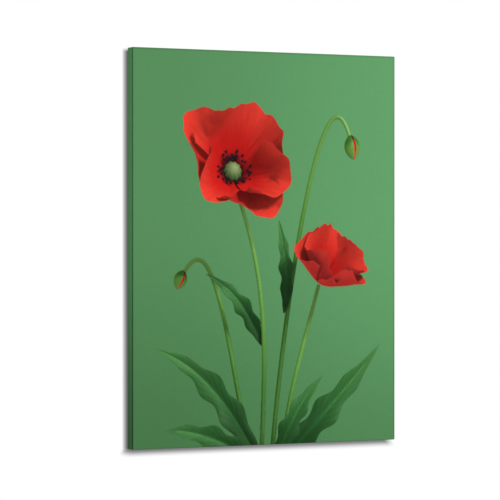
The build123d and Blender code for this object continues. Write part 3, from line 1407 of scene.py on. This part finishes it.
@dataclass
class WrappedCanvas:
    """The printed cloth: its face, its four turned sides and the margin stapled down behind."""

    columns: int = 150
    rows: int = 200
    finer_rounds: int = 2
    finer_step: float = 0.09
    finest: float = 0.0008
    straight: float = 0.99
    turn_radius: float = 0.0011
    turn_steps: int = 4
    side_steps: int = 8
    margin_steps: int = 6
    thickness: float = 0.0004
    hair: float = 0.00001
    staple_crown: float = 0.011
    staple_step: float = 0.05
    dip: float = 0.00030
    dip_start: float = 0.010
    dip_end: float = 0.070
    pucker: float = 0.00035
    pucker_power: float = 1.6
    ragged: float = 0.00035
    fray_waves: tuple[Triple, Triple] = ((1.0, 310.0, 0.0), (0.6, 790.0, 1.3))
    bleed: float = 0.0045
    flank_turn: float = 1.5
    # Painted shade on the turned sides: a darker, greener tint, deeper towards the foot.
    flank_shade: float = 0.37
    flank_shade_range: Range = (0.5, -0.04)
    flank_tint: Colour = (0.75, 0.97, 0.82)
    # Painted shade along the folds' creases: where it lies, how wide it is and how deep.
    crease: float = 0.0020
    crease_reach: float = 0.0013
    crease_soft: float = 0.0004
    crease_high: float = 0.78
    crease_range: Range = (0.75, 0.25)
    back_crease_tone: float = 0.9
    lit_crease: float = 0.0004
    lit_crease_tone: float = 0.30
    corner_power: float = 4.0
    tuck_edge: float = 0.0012
    threads: int = 420
    thread_seed: int = 11
    thread_length: float = 0.0055
    thread_shortest: float = 0.25
    thread_radius: float = 0.00014
    thread_root: float = 0.0006
    thread_sides: int = 4
    thread_steps: int = 4
    thread_lean: float = 0.9
    thread_rise: Range = (0.0, 0.3)
    thread_curl: float = 0.35
    thread_lift: Range = (-0.02, 0.12)

    def __post_init__(self) -> None:
        """Read the cloth's own box, and the places that the staples and bars give, from the frame."""
        low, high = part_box("canvas")
        self.half_width = high.x
        self.height = high.z
        self.front = low.y
        self.depth = -2 * low.y
        self.staple_rows = {"upright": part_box("left_staples"), "level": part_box("top_staples")}
        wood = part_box("left_bar")[0].x
        row_low, row_high = self.staple_rows["upright"]
        self.margin = row_low.x + row_high.x - wood + self.half_width

    def staple_pitch(self, level: bool) -> tuple[float, float]:
        """Give where a row of staples starts and its pitch.

        Args:
            level: Whether the row runs along the top or bottom.

        Returns:
            The first staple's middle along the row, and the distance to the next.
        """
        low, high = self.staple_rows["level" if level else "upright"]
        start, end = (low.x, high.x) if level else (low.z, high.z)
        start, end = start + self.staple_crown / 2, end - self.staple_crown / 2
        return start, (end - start) / round((end - start) / self.staple_step)

    def skin(self, inside: float) -> bmesh.types.BMesh:
        """Wrap one face of the cloth round the frame, with its margin turned over.

        Args:
            inside: How far inside the cloth's outer face it lies.

        Returns:
            The wrapped face, open behind, with nothing displaced yet.
        """
        mesh = bmesh.new()
        bmesh.ops.create_cube(mesh, size=1.0)
        size = Vector((2 * (self.half_width - inside), self.depth - 2 * inside, self.height - 2 * inside))
        bmesh.ops.scale(mesh, vec=size, verts=mesh.verts)
        bmesh.ops.translate(mesh, vec=(0, self.front + self.depth / 2, self.height / 2), verts=mesh.verts)
        bmesh.ops.bevel(
            mesh,
            geom=mesh.edges[:],
            offset=self.turn_radius - inside,
            offset_type="OFFSET",
            affect="EDGES",
            segments=self.turn_steps,
            profile=0.5,
            material=-1,
        )
        back = max(mesh.faces, key=lambda face: face.calc_center_median().y * face.calc_area())
        inset = self.margin - self.turn_radius
        bmesh.ops.inset_region(mesh, faces=[back], thickness=inset, use_even_offset=True)
        bmesh.ops.delete(mesh, geom=[back], context="FACES")
        for axis, cuts, shortest in (
            (0, self.columns, self.half_width),
            (2, self.rows, self.half_width),
            (1, self.side_steps, self.depth / 2),
        ):
            lines = [e for e in mesh.edges if abs(e.verts[0].co[axis] - e.verts[1].co[axis]) > shortest]
            bmesh.ops.subdivide_edges(mesh, edges=lines, cuts=cuts - 1, use_grid_fill=True)
        across = [e for e in mesh.edges if e.verts[0].is_boundary != e.verts[1].is_boundary]
        bmesh.ops.subdivide_edges(mesh, edges=across, cuts=self.margin_steps - 1, use_grid_fill=True)
        return mesh

    def refine(self, mesh: bmesh.types.BMesh, still: StillLife) -> None:
        """Halve the steps of the face where the print changes quickly.

        Args:
            mesh: The wrapped face.
            still: What the print shows.
        """
        mesh.verts.index_update()
        spots = np.array([(vertex.co.x, vertex.co.z) for vertex in mesh.verts])
        tones = np.sqrt(still.seen(spots)[0])
        lines = set()
        for face in mesh.faces:
            if face.normal.y > -self.straight:
                continue
            around = tones[[vertex.index for vertex in face.verts]]
            if np.ptp(around, axis=0).max() > self.finer_step:
                lines.update(face.edges)
        bmesh.ops.subdivide_edges(mesh, edges=list(lines), cuts=1, use_grid_fill=True)

    def is_level(self, place: Vector) -> bool:
        """Say whether a place behind lies on the top or bottom margin, and not on an upright one."""
        return min(place.z, self.height - place.z) < self.half_width - abs(place.x)

    def unfold(self, place: Vector, level: bool) -> Quad:
        """Find a place's spot on the flat sheet.

        Args:
            place: The place on the wrapped cloth.
            level: Whether it was turned over the top or bottom edge, and not a side.

        Returns:
            The spot's X and Z on the flat sheet, how far it lies past the front fold's start, and how deep
            the painted shade of a crease is there, from 0 to 1.
        """
        half = self.height / 2 if level else self.half_width
        out = place.z - half if level else place.x
        edge = half - abs(out)
        deep = place.y - self.front
        radius = self.turn_radius
        bow = radius * math.pi / 2
        flank = self.depth - 2 * radius
        if deep < radius and edge < radius:
            past = radius * math.atan2(radius - edge, radius - deep)
        elif deep < radius:
            past = radius - edge
        elif deep <= self.depth - radius:
            past = bow + deep - radius
        elif edge < radius:
            past = bow + flank + radius * math.atan2(deep - self.depth + radius, radius - edge)
        else:
            past = 2 * bow + flank + edge - radius
        spot = math.copysign(half - radius + past, out)
        # The left side's front and back creases, and the right and top creases, get painted shade; tone is
        # its depth.
        creases = ()
        if out < 0 and not level:
            creases = ((self.crease, 1.0), (2 * bow + flank - self.crease, self.back_crease_tone))
        elif out > 0:
            creases = ((self.lit_crease, self.lit_crease_tone),)
        fold = 0.0
        for middle, tone in creases:
            depth = (self.crease_reach - abs(past - middle)) / self.crease_soft
            fold = max(fold, tone * min(depth, 1.0))
        return (place.x, half + spot, past, fold) if level else (spot, place.z, past, fold)

    def squared(self, place: Vector) -> Vector:
        """Work out the move that makes a rounded corner squarer, as folded cloth is there.

        Args:
            place: The place on the rounded corner.

        Returns:
            The move.
        """
        middle = Vector((
            math.copysign(self.half_width - self.turn_radius, place.x),
            place.y,
            self.turn_radius if place.z < self.height / 2 else self.height - self.turn_radius,
        ))
        arm = place - middle
        round_reach = arm.length
        if round_reach < self.hair:
            return Vector()
        power = self.corner_power
        square_reach = (abs(arm.x) ** power + abs(arm.z) ** power) ** (1 / power)
        return arm * (round_reach / square_reach - 1)

    def tuck(self, place: Vector) -> Vector:
        """Work out how far the layer that is tucked in at a corner lifts the top or bottom turn above it.

        Args:
            place: The place on the taut cloth.

        Returns:
            The move from the taut place. The foot stays flat, because the picture stands on it.
        """
        deep = place.y - self.front
        from_side = self.half_width - abs(place.x)
        from_end = min(place.z, self.height - place.z)
        behind = max(0.0, deep - self.depth + self.turn_radius)
        above = max(0.0, self.turn_radius - from_end)
        normal = Vector((0, behind, above)).normalized()
        if place.z < self.height / 2:
            normal.z = 0.0
        under = smooth(self.tuck_edge, -self.tuck_edge, from_side - self.margin * deep / self.depth)
        clear = smooth(self.turn_radius, 2 * self.turn_radius, from_side)
        return normal * (self.thickness * float(under * clear))

    def shift(self, place: Vector, level: bool) -> Vector:
        """Work out how far the cloth gives way at a place: a slack face and a puckered margin.

        Args:
            place: The place on the taut cloth.
            level: Whether it lies on the top or bottom margin.

        Returns:
            The move from the taut place.
        """
        deep = place.y - self.front
        from_side = self.half_width - abs(place.x)
        from_end = min(place.z, self.height - place.z)
        nearest = min(from_side, from_end)
        if max(from_side, from_end) < self.turn_radius:
            return self.squared(place)
        if deep < self.turn_radius / 2 and nearest > self.turn_radius:
            slack = math.prod(smooth(self.dip_start, self.dip_end, gap) for gap in (from_side, from_end))
            return Vector((0, self.dip * float(slack), 0))
        move = self.tuck(place) if level else Vector()
        if deep < self.depth - self.turn_radius / 2 or nearest < self.turn_radius:
            return move
        start, pitch = self.staple_pitch(level)
        along, inward = (place.x, from_end) if level else (place.z, from_side)
        share = float(smooth(self.turn_radius, self.margin, inward))
        wave = (0.5 - 0.5 * math.cos(math.tau * (along - start) / pitch)) ** self.pucker_power
        fray = sum(size * math.sin(along * rate + phase) for size, rate, phase in self.fray_waves)
        move.y += self.pucker * wave * share
        heading = UP * math.copysign(1, self.height / 2 - place.z)
        if not level:
            heading = Vector((-math.copysign(1, place.x), 0, 0))
        return move + heading * (self.ragged * fray * share**3)

    def part_flaps(self, mesh: bmesh.types.BMesh, behind: float) -> set[bmesh.types.BMFace]:
        """Part the margin's flaps at the mitres behind.

        Args:
            mesh: The wrapped face.
            behind: The depth past which a point lies on the margin.

        Returns:
            The faces of the top and bottom flaps.
        """
        flaps = [face for face in mesh.faces if all(v.co.y > behind for v in face.verts)]
        level_faces = {face for face in flaps if self.is_level(face.calc_center_median())}
        mitres = [
            edge for edge in mesh.edges
            if len(edge.link_faces) == 2
            and all(face.normal.y > self.straight for face in edge.link_faces)
            and len(level_faces.intersection(edge.link_faces)) == 1
        ]
        bmesh.ops.split_edges(mesh, edges=mitres)
        return level_faces

    def lay(
        self,
        mesh: bmesh.types.BMesh,
        inside: float,
        name: str,
        material: bpy.types.Material,
    ) -> tuple[bpy.types.Object, np.ndarray]:
        """Part the margin's flaps, lay the cloth as it gives way, and map its flat sheet.

        Args:
            mesh: The wrapped face, which is used up.
            inside: How far inside the cloth's outer face it lies.
            name: The piece's name.
            material: Its material.

        Returns:
            The piece, and its vertices' spots: X and Z on the flat sheet, distance past the fold, and painted
            crease shade.
        """
        behind = self.front + self.depth - inside - self.hair
        rim = [edge for edge in mesh.edges if edge.is_boundary]
        level_faces = self.part_flaps(mesh, behind)
        if not inside:
            draw_out(mesh, rim, AWAY * -self.thickness)
        mesh.normal_update()
        mesh.verts.index_update()
        spots = np.empty((len(mesh.verts), 4))
        moves = []
        for vertex in mesh.verts:
            level = any(face in level_faces for face in vertex.link_faces)
            if vertex.co.y < behind:
                level = abs(vertex.normal.z) > abs(vertex.normal.x)
            outward = vertex.co + vertex.normal * inside
            spots[vertex.index] = self.unfold(outward, level)
            moves.append(self.shift(outward, level))
        for vertex, move in zip(mesh.verts, moves):
            vertex.co += move
        cloth = mesh.loops.layers.uv.new(CLOTH_MAP)
        for face in mesh.faces:
            for loop in face.loops:
                loop[cloth].uv = spots[loop.vert.index, :2]
        return new_piece(mesh, name, material), spots

    def printed_face(self) -> bpy.types.Object:
        """Build the cloth's outer face with the print on it, and painted shade on its turned sides and
        creases.

        Returns:
            The piece.
        """
        picture = FloralPrint(self.half_width, self.height)
        still = picture.arrange()
        mesh = self.skin(0.0)
        for _ in range(self.finer_rounds):
            self.refine(mesh, still)
        ink_end = math.pi * self.turn_radius + self.depth - 2 * self.turn_radius + self.bleed
        material = PrintedCloth(ink_end, RawCloth().pale).material("printed_cloth")
        piece, spots = self.lay(mesh, 0.0, "canvas_face", material)
        ink = picture.colours(still, spots[:, :2], self.finest)
        rise, past, fold = spots[:, 1] / self.height, spots[:, 2], spots[:, 3]
        # The turned sides get painted shade: darker and greener than the face, and darker still towards the
        # foot.
        turned = smooth(0.0, self.flank_turn * self.turn_radius, past)[:, None]
        low = smooth(*self.flank_shade_range, rise)[:, None]
        ink *= 1 - turned * (1 - np.array(self.flank_tint) * (1 - self.flank_shade * low))
        # The painted crease shade is deeper towards the foot.
        fold = fold * (self.crease_high + (1 - self.crease_high) * smooth(*self.crease_range, rise))
        values = np.column_stack([ink, fold]).astype(np.float32)
        layer = piece.data.color_attributes.new(PRINT_LAYER, "FLOAT_COLOR", "POINT")
        layer.data.foreach_set("color", values.ravel())
        distance = piece.data.attributes.new(PAST_LAYER, "FLOAT", "POINT")
        distance.data.foreach_set("value", past.astype(np.float32))
        return piece

    def bare_reverse(self) -> bpy.types.Object:
        """Build the cloth's inner face, which shows between the bars.

        Returns:
            The piece.
        """
        material = RawCloth().material("raw_cloth")
        piece, _ = self.lay(self.skin(self.thickness), self.thickness, "canvas_reverse", material)
        piece.data.flip_normals()
        return piece

    def thread(self, root: Vector, heading: Vector, curl: Vector, length: float) -> bpy.types.Mesh:
        """Spin one thread.

        Args:
            root: Where it leaves the cloth.
            heading: Which way it leaves.
            curl: How its heading changes at each step.
            length: Its length.

        Returns:
            The thread's mesh.
        """
        mesh = bmesh.new()
        ring = bmesh.ops.create_circle(mesh, segments=self.thread_sides, radius=self.thread_radius)["verts"]
        bmesh.ops.rotate(mesh, verts=ring, cent=Vector(), matrix=heading.to_track_quat("Z", "Y").to_matrix())
        bmesh.ops.translate(mesh, verts=ring, vec=root)
        end = mesh.edges[:]
        for _ in range(self.thread_steps):
            end = draw_out(mesh, end, heading * length / self.thread_steps)[1]
            heading = (heading + curl).normalized()
        bmesh.ops.holes_fill(mesh, edges=mesh.edges[:])
        bmesh.ops.recalc_face_normals(mesh, faces=mesh.faces[:])
        data = bpy.data.meshes.new("thread")
        mesh.to_mesh(data)
        mesh.free()
        return data

    def loose_threads(self) -> bpy.types.Object:
        """Build the threads that stand off the cloth's raw edge behind.

        Returns:
            The piece.
        """
        draw = random.Random(self.thread_seed)
        lean, curve = self.thread_lean, self.thread_curl
        mesh = bmesh.new()
        inner = Vector((self.half_width - self.margin, 0, self.height / 2 - self.margin))
        middle = Vector((0, self.front + self.depth - self.thickness / 2, self.height / 2))
        for _ in range(self.threads):
            level = draw.random() < inner.x / (inner.x + inner.z)
            side = draw.choice((-1, 1))
            along, inward = (Vector((1, 0, 0)), UP * -side) if level else (UP, Vector((-side, 0, 0)))
            edge, run = (inner.z, inner.x) if level else (inner.x, inner.z)
            root = middle - inward * (edge + self.thread_root) + along * draw.uniform(-run, run)
            heading = inward + along * draw.uniform(-lean, lean) + AWAY * draw.uniform(*self.thread_rise)
            curl = along * draw.uniform(-curve, curve) + AWAY * draw.uniform(*self.thread_lift)
            length = self.thread_length * draw.uniform(self.thread_shortest, 1.0)
            data = self.thread(root, heading.normalized(), curl, length)
            mesh.from_mesh(data)
            bpy.data.meshes.remove(data)
        return new_piece(mesh, "canvas_threads", LooseThread().material("loose_thread"))

    def build(self) -> None:
        face = self.printed_face()
        reverse = self.bare_reverse()
        threads = self.loose_threads()
        for piece in (face, reverse, threads):
            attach(piece, "frame")
        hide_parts("canvas")


def dress(node: str, material: bpy.types.Material) -> None:
    """Give a solid of the frame its material.

    Args:
        node: The solid's name.
        material: The material.
    """
    piece = frame["nodes"][node]
    if not piece.material_slots:
        piece.data.materials.append(material)
    for slot in piece.material_slots:
        slot.material = material
    log.info("%s: %s", node, material.name)


@dataclass
class StretcherFrame:
    """The four pine bars and the eight wedge keys in their corners."""

    pine: Timber = Timber(
        pale=linear(233, 205, 160),
        dark=linear(203, 160, 106),
        knot=linear(138, 88, 50),
        ring=0.0026,
        knots=1.0,
        roughness=(0.65, 0.49),
    )
    key_wood: Timber = Timber(
        pale=linear(226, 200, 162),
        dark=linear(188, 152, 110),
        knot=linear(120, 84, 54),
        ring=0.0016,
        knots=0.0,
        roughness=(0.60, 0.44),
    )
    bars: tuple[tuple[str, Run, Triple, float], ...] = (
        ("left", Run.UPRIGHT, (0.0, 0.004, 0.262), 0.034),
        ("right", Run.UPRIGHT, (0.73, 0.012, -0.187), -0.021),
        ("top", Run.LEVEL, (1.46, 0.019, -0.541), 0.028),
        ("bottom", Run.LEVEL, (2.19, 0.008, 0.034), -0.040),
    )
    corners: tuple[str, ...] = ("top_left", "top_right", "bottom_left", "bottom_right")
    keys: tuple[tuple[str, Run, float], ...] = (("level", Run.LEVEL, 0.2), ("upright", Run.UPRIGHT, 0.1))
    key_step: float = 0.31
    key_layer: float = 0.007
    key_lean: float = 0.05

    def build(self) -> None:
        """Dress every bar and key, each cut from its own stretch of plank."""
        for side, run, shift, lean in self.bars:
            dress(f"{side}_bar", self.pine.material(f"pine_{side}", run, Vector(shift), lean))
        for number, corner in enumerate(self.corners):
            lean = self.key_lean * (number - 1)
            for name, run, height in self.keys:
                shift = Vector((self.key_step * number, self.key_layer * number, height))
                material = self.key_wood.material(f"key_{corner}_{name}", run, shift, lean)
                dress(f"{corner}_{name}_key", material)


@dataclass
class HangerRing:
    """One ring of round wire, bent to a flat side that its strap holds."""

    side: Side
    corner: float = 0.003
    wire_steps: int = 20
    bend_steps: int = 8
    bow_steps: int = 36
    merge_share: float = 0.02

    def build(self, material: bpy.types.Material) -> None:
        """Bend the wire along its own path and hang it in the strap.

        Args:
            material: The ring's material.
        """
        body = f"{self.side.value}_ring"
        node = f"{self.side.value}_hanger_ring"
        low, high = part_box(node)
        pivot = Vector(next(joint["pos_m"] for joint in frame["joints"] if joint["child"] == body))
        wire = (high.y - low.y) / 2
        half = (high.z - low.z) / 2 - wire
        reach = high.x - low.x - 2 * wire
        straight = half - self.corner
        arm = reach - self.corner - half
        inward = Vector((1 if self.side is Side.LEFT else -1, 0, 0))
        bends = (
            (UP * 2 * straight, math.pi / 2, inward * self.corner + UP * straight, self.bend_steps),
            (inward * arm, math.pi, inward * (self.corner + arm), self.bow_steps),
            (inward * -arm, math.pi / 2, inward * self.corner - UP * straight, self.bend_steps),
        )
        mesh = bmesh.new()
        ring = bmesh.ops.create_circle(mesh, segments=self.wire_steps, radius=wire)["verts"]
        bmesh.ops.translate(mesh, vec=pivot - UP * straight, verts=ring)
        end = mesh.edges[:]
        for move, turn, middle, steps in bends:
            ring, end = draw_out(mesh, end, move)
            bent = bmesh.ops.spin(
                mesh,
                geom=ring + end,
                cent=pivot + middle,
                axis=AWAY * inward.x,
                angle=turn,
                steps=steps,
                use_merge=False,
            )["geom_last"]
            end = [item for item in bent if isinstance(item, bmesh.types.BMEdge)]
        bmesh.ops.remove_doubles(mesh, verts=mesh.verts[:], dist=wire * self.merge_share)
        bmesh.ops.recalc_face_normals(mesh, faces=mesh.faces[:])
        piece = new_piece(mesh, f"{self.side.value}_wire_ring", material)
        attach(piece, body)
        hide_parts(node)


@dataclass
class Fixings:
    """The staples that hold the cloth, and the two ring hangers."""

    staple: Plating = Plating(linear(176, 178, 182), linear(120, 122, 126), (0.30, 0.48), 900.0)
    plate: Plating = Plating(linear(214, 210, 200), linear(172, 166, 152), (0.26, 0.44), 420.0)
    ring: Plating = Plating(linear(222, 218, 208), linear(186, 180, 166), (0.16, 0.34), 420.0)
    screw: Plating = Plating(linear(206, 204, 198), linear(148, 144, 136), (0.30, 0.48), 700.0)

    def build(self) -> None:
        """Dress the staples and the hangers' straps, rings and screws."""
        staple_wire = self.staple.material("staple_wire")
        for side in ("left", "right", "top", "bottom"):
            dress(f"{side}_staples", staple_wire)
        for part, finish in (("strap", self.plate), ("screw", self.screw)):
            material = finish.material(f"hanger_{part}")
            for side in Side:
                dress(f"{side.value}_hanger_{part}", material)
        ring_wire = self.ring.material("hanger_wire")
        for side in Side:
            HangerRing(side).build(ring_wire)


@dataclass
class Studio:
    """A white floor and wall, soft light and the camera."""

    azimuth: float = math.radians(-27.01)
    elevation: float = math.radians(0.20)
    distance: float = 3.965
    aim: Triple = (-0.02465, 0.0, 0.29787)
    lens: float = 186.72
    sensor: float = 36.0
    wall: float = 0.0148
    floor_level: float = -0.0002
    reach: float = 6.0
    sky: float = 0.50
    key: float = 0.66
    key_from: Triple = (0.36, -0.84, 0.42)
    fill: float = 0.50
    fill_from: Triple = (-0.25, 0.80, 0.54)
    lamp_softness: float = math.radians(16)
    front_shade: float = 0.133
    back_shade: float = 0.05
    deepest: float = 0.80
    wall_shade: float = 0.0096
    wall_hidden: float = 0.0023
    wall_bow: float = 2.0
    wall_deepest: float = 0.92
    end_fade: float = 0.014
    corner_fade: float = 0.005

    def white(self, name: str, shade: Callable[[NodeSheet, list[Socket]], Socket]) -> bpy.types.Material:
        """Make a plain white with a soft shade on it.

        Args:
            name: The material's name.
            shade: Fills a sheet with the shade's depth, from the place's X, Y and Z.

        Returns:
            The material, which lets rays from behind through.
        """
        material, sheet, shader = new_material(name)
        material.node_tree.nodes.remove(shader)
        place = sheet.add("ShaderNodeSeparateXYZ", {0: sheet.add("ShaderNodeTexCoord").outputs["Object"]})
        depth = shade(sheet, list(place.outputs))
        glow = sheet.add("ShaderNodeEmission", {"Strength": sheet.math("SUBTRACT", 1.0, depth)})
        clear = sheet.add("ShaderNodeBsdfTransparent")
        behind = sheet.add("ShaderNodeNewGeometry").outputs["Backfacing"]
        sides = sheet.add("ShaderNodeMixShader", {0: behind, 1: glow.outputs[0], 2: clear.outputs[0]})
        sheet.feed(material.node_tree.nodes["Material Output"].inputs["Surface"], sides.outputs[0])
        return material

    def shade_rise(self, sheet: NodeSheet, value: Socket, edge: float) -> Socket:
        """Rise from 0 to 1 on the way to the picture's edge, quickly at first, and go on a little behind it.

        Args:
            sheet: The material's sheet.
            value: The place's X.
            edge: The X at which the picture hides the rest.

        Returns:
            The rise.
        """
        rest = sheet.span(value, edge - self.wall_shade, edge + self.wall_hidden, 1.0, 0.0)
        return sheet.math("SUBTRACT", 1.0, sheet.math("POWER", rest, self.wall_bow))

    def foot_shade(self, sheet: NodeSheet, place: list[Socket]) -> Socket:
        """Shade the floor from the picture's foot towards the front left, and a little way behind it.

        Args:
            sheet: The floor's sheet.
            place: The place's X, Y and Z.

        Returns:
            The shade's depth.
        """
        slant = math.tan(-self.azimuth)
        half, front = cad_box[1].x, cad_box[0].y
        ahead = sheet.math("SUBTRACT", front, place[1])
        foot = sheet.math("ADD", place[0], sheet.math("MULTIPLY", ahead, slant))
        beside = sheet.math("MAXIMUM", sheet.math("SUBTRACT", -half, foot), 0.0)
        run = sheet.math("ADD", ahead, sheet.math("DIVIDE", beside, slant))
        depth = sheet.span(run, 0.0, self.front_shade, self.deepest, 0.0, gentle=True)
        right = half - self.corner_fade
        for fade in (
            self.shade_rise(sheet, foot, -half + 2 * front * slant),
            sheet.span(foot, right, right - self.end_fade),
            sheet.span(place[1], -front, self.back_shade, 1.0, 0.0),
        ):
            depth = sheet.math("MULTIPLY", depth, fade)
        return depth

    def side_shade(self, sheet: NodeSheet, place: list[Socket]) -> Socket:
        """Shade the wall along the picture's left side.

        Args:
            sheet: The wall's sheet.
            place: The place's X, Y and Z.

        Returns:
            The shade's depth.
        """
        half, back, height = cad_box[1].x, -cad_box[0].y, cad_box[1].z
        edge = (self.wall - back) * math.tan(-self.azimuth) - half
        depth = sheet.math("MULTIPLY", self.shade_rise(sheet, place[0], edge), self.wall_deepest)
        for fade in (
            sheet.span(place[0], half - self.end_fade, 0.0),
            sheet.span(place[2], height, height - self.corner_fade),
        ):
            depth = sheet.math("MULTIPLY", depth, fade)
        return depth

    def plane(self, name: str, corners: list[Triple], material: bpy.types.Material) -> None:
        """Add a flat stage that neither lights nor shades the object.

        Args:
            name: The stage's name.
            corners: Its four corners, anticlockwise as seen from its face.
            material: Its material.
        """
        mesh = bmesh.new()
        mesh.faces.new([mesh.verts.new(corner) for corner in corners])
        stage = new_piece(mesh, name, material)
        stage.visible_diffuse = False
        stage.visible_shadow = False
        stage.visible_glossy = False

    def lamp(self, name: str, strength: float, source: Triple) -> None:
        """Add a soft distant lamp.

        Args:
            name: The lamp's name.
            strength: The light that it throws on a surface that faces it.
            source: Where it shines from.
        """
        data = bpy.data.lights.new(name, "SUN")
        data.energy = strength * math.pi
        data.angle = self.lamp_softness
        lamp = bpy.data.objects.new(name, data)
        lamp.rotation_euler = Vector(source).to_track_quat("Z", "Y").to_euler()
        bpy.context.scene.collection.objects.link(lamp)

    def world(self) -> None:
        """Light the room evenly, and show it as white."""
        world = bpy.data.worlds.new("white_room")
        world.use_nodes = True
        sheet = NodeSheet(world.node_tree)
        ray = sheet.add("ShaderNodeLightPath")
        mirrored = sheet.math("MAXIMUM", ray.outputs["Is Glossy Ray"], ray.outputs["Is Transmission Ray"])
        shown = sheet.math("MAXIMUM", ray.outputs["Is Camera Ray"], mirrored)
        background = world.node_tree.nodes["Background"]
        background.inputs["Color"].default_value = (1.0, 1.0, 1.0, 1.0)
        sheet.feed(background.inputs["Strength"], sheet.span(shown, 0.0, 1.0, self.sky, 1.0))
        bpy.context.scene.world = world

    def camera(self) -> None:
        """Place the camera where the photograph was taken from."""
        data = bpy.data.cameras.new("camera")
        data.lens = self.lens
        data.sensor_width = self.sensor
        data.clip_end = 4 * self.reach
        turn, rise = self.azimuth, self.elevation
        back = Vector((math.sin(turn) * math.cos(rise), -math.cos(turn) * math.cos(rise), math.sin(rise)))
        camera = bpy.data.objects.new("camera", data)
        camera.location = Vector(self.aim) + back * self.distance
        camera.rotation_euler = back.to_track_quat("Z", "Y").to_euler()
        bpy.context.scene.collection.objects.link(camera)
        bpy.context.scene.camera = camera

    def build(self) -> None:
        """Set the stage, the light and the camera."""
        r, y, level = self.reach, self.wall, self.floor_level
        floor = self.white("white_floor", self.foot_shade)
        self.plane("floor", [(-r, -r, level), (r, -r, level), (r, r, level), (-r, r, level)], floor)
        wall = self.white("white_wall", self.side_shade)
        self.plane("wall", [(-r, y, 0), (r, y, 0), (r, y, r), (-r, y, r)], wall)
        self.lamp("key_lamp", self.key, self.key_from)
        self.lamp("fill_lamp", self.fill, self.fill_from)
        self.world()
        self.camera()
        bpy.context.scene.view_settings.view_transform = "Standard"


def main() -> None:
    """Build the cloth, dress the frame and its fixings, and set the studio."""
    logging.basicConfig(level=logging.INFO, format="%(name)s %(message)s")
    WrappedCanvas().build()
    StretcherFrame().build()
    Fixings().build()
    Studio().build()


if __name__ == "__main__":
    main()
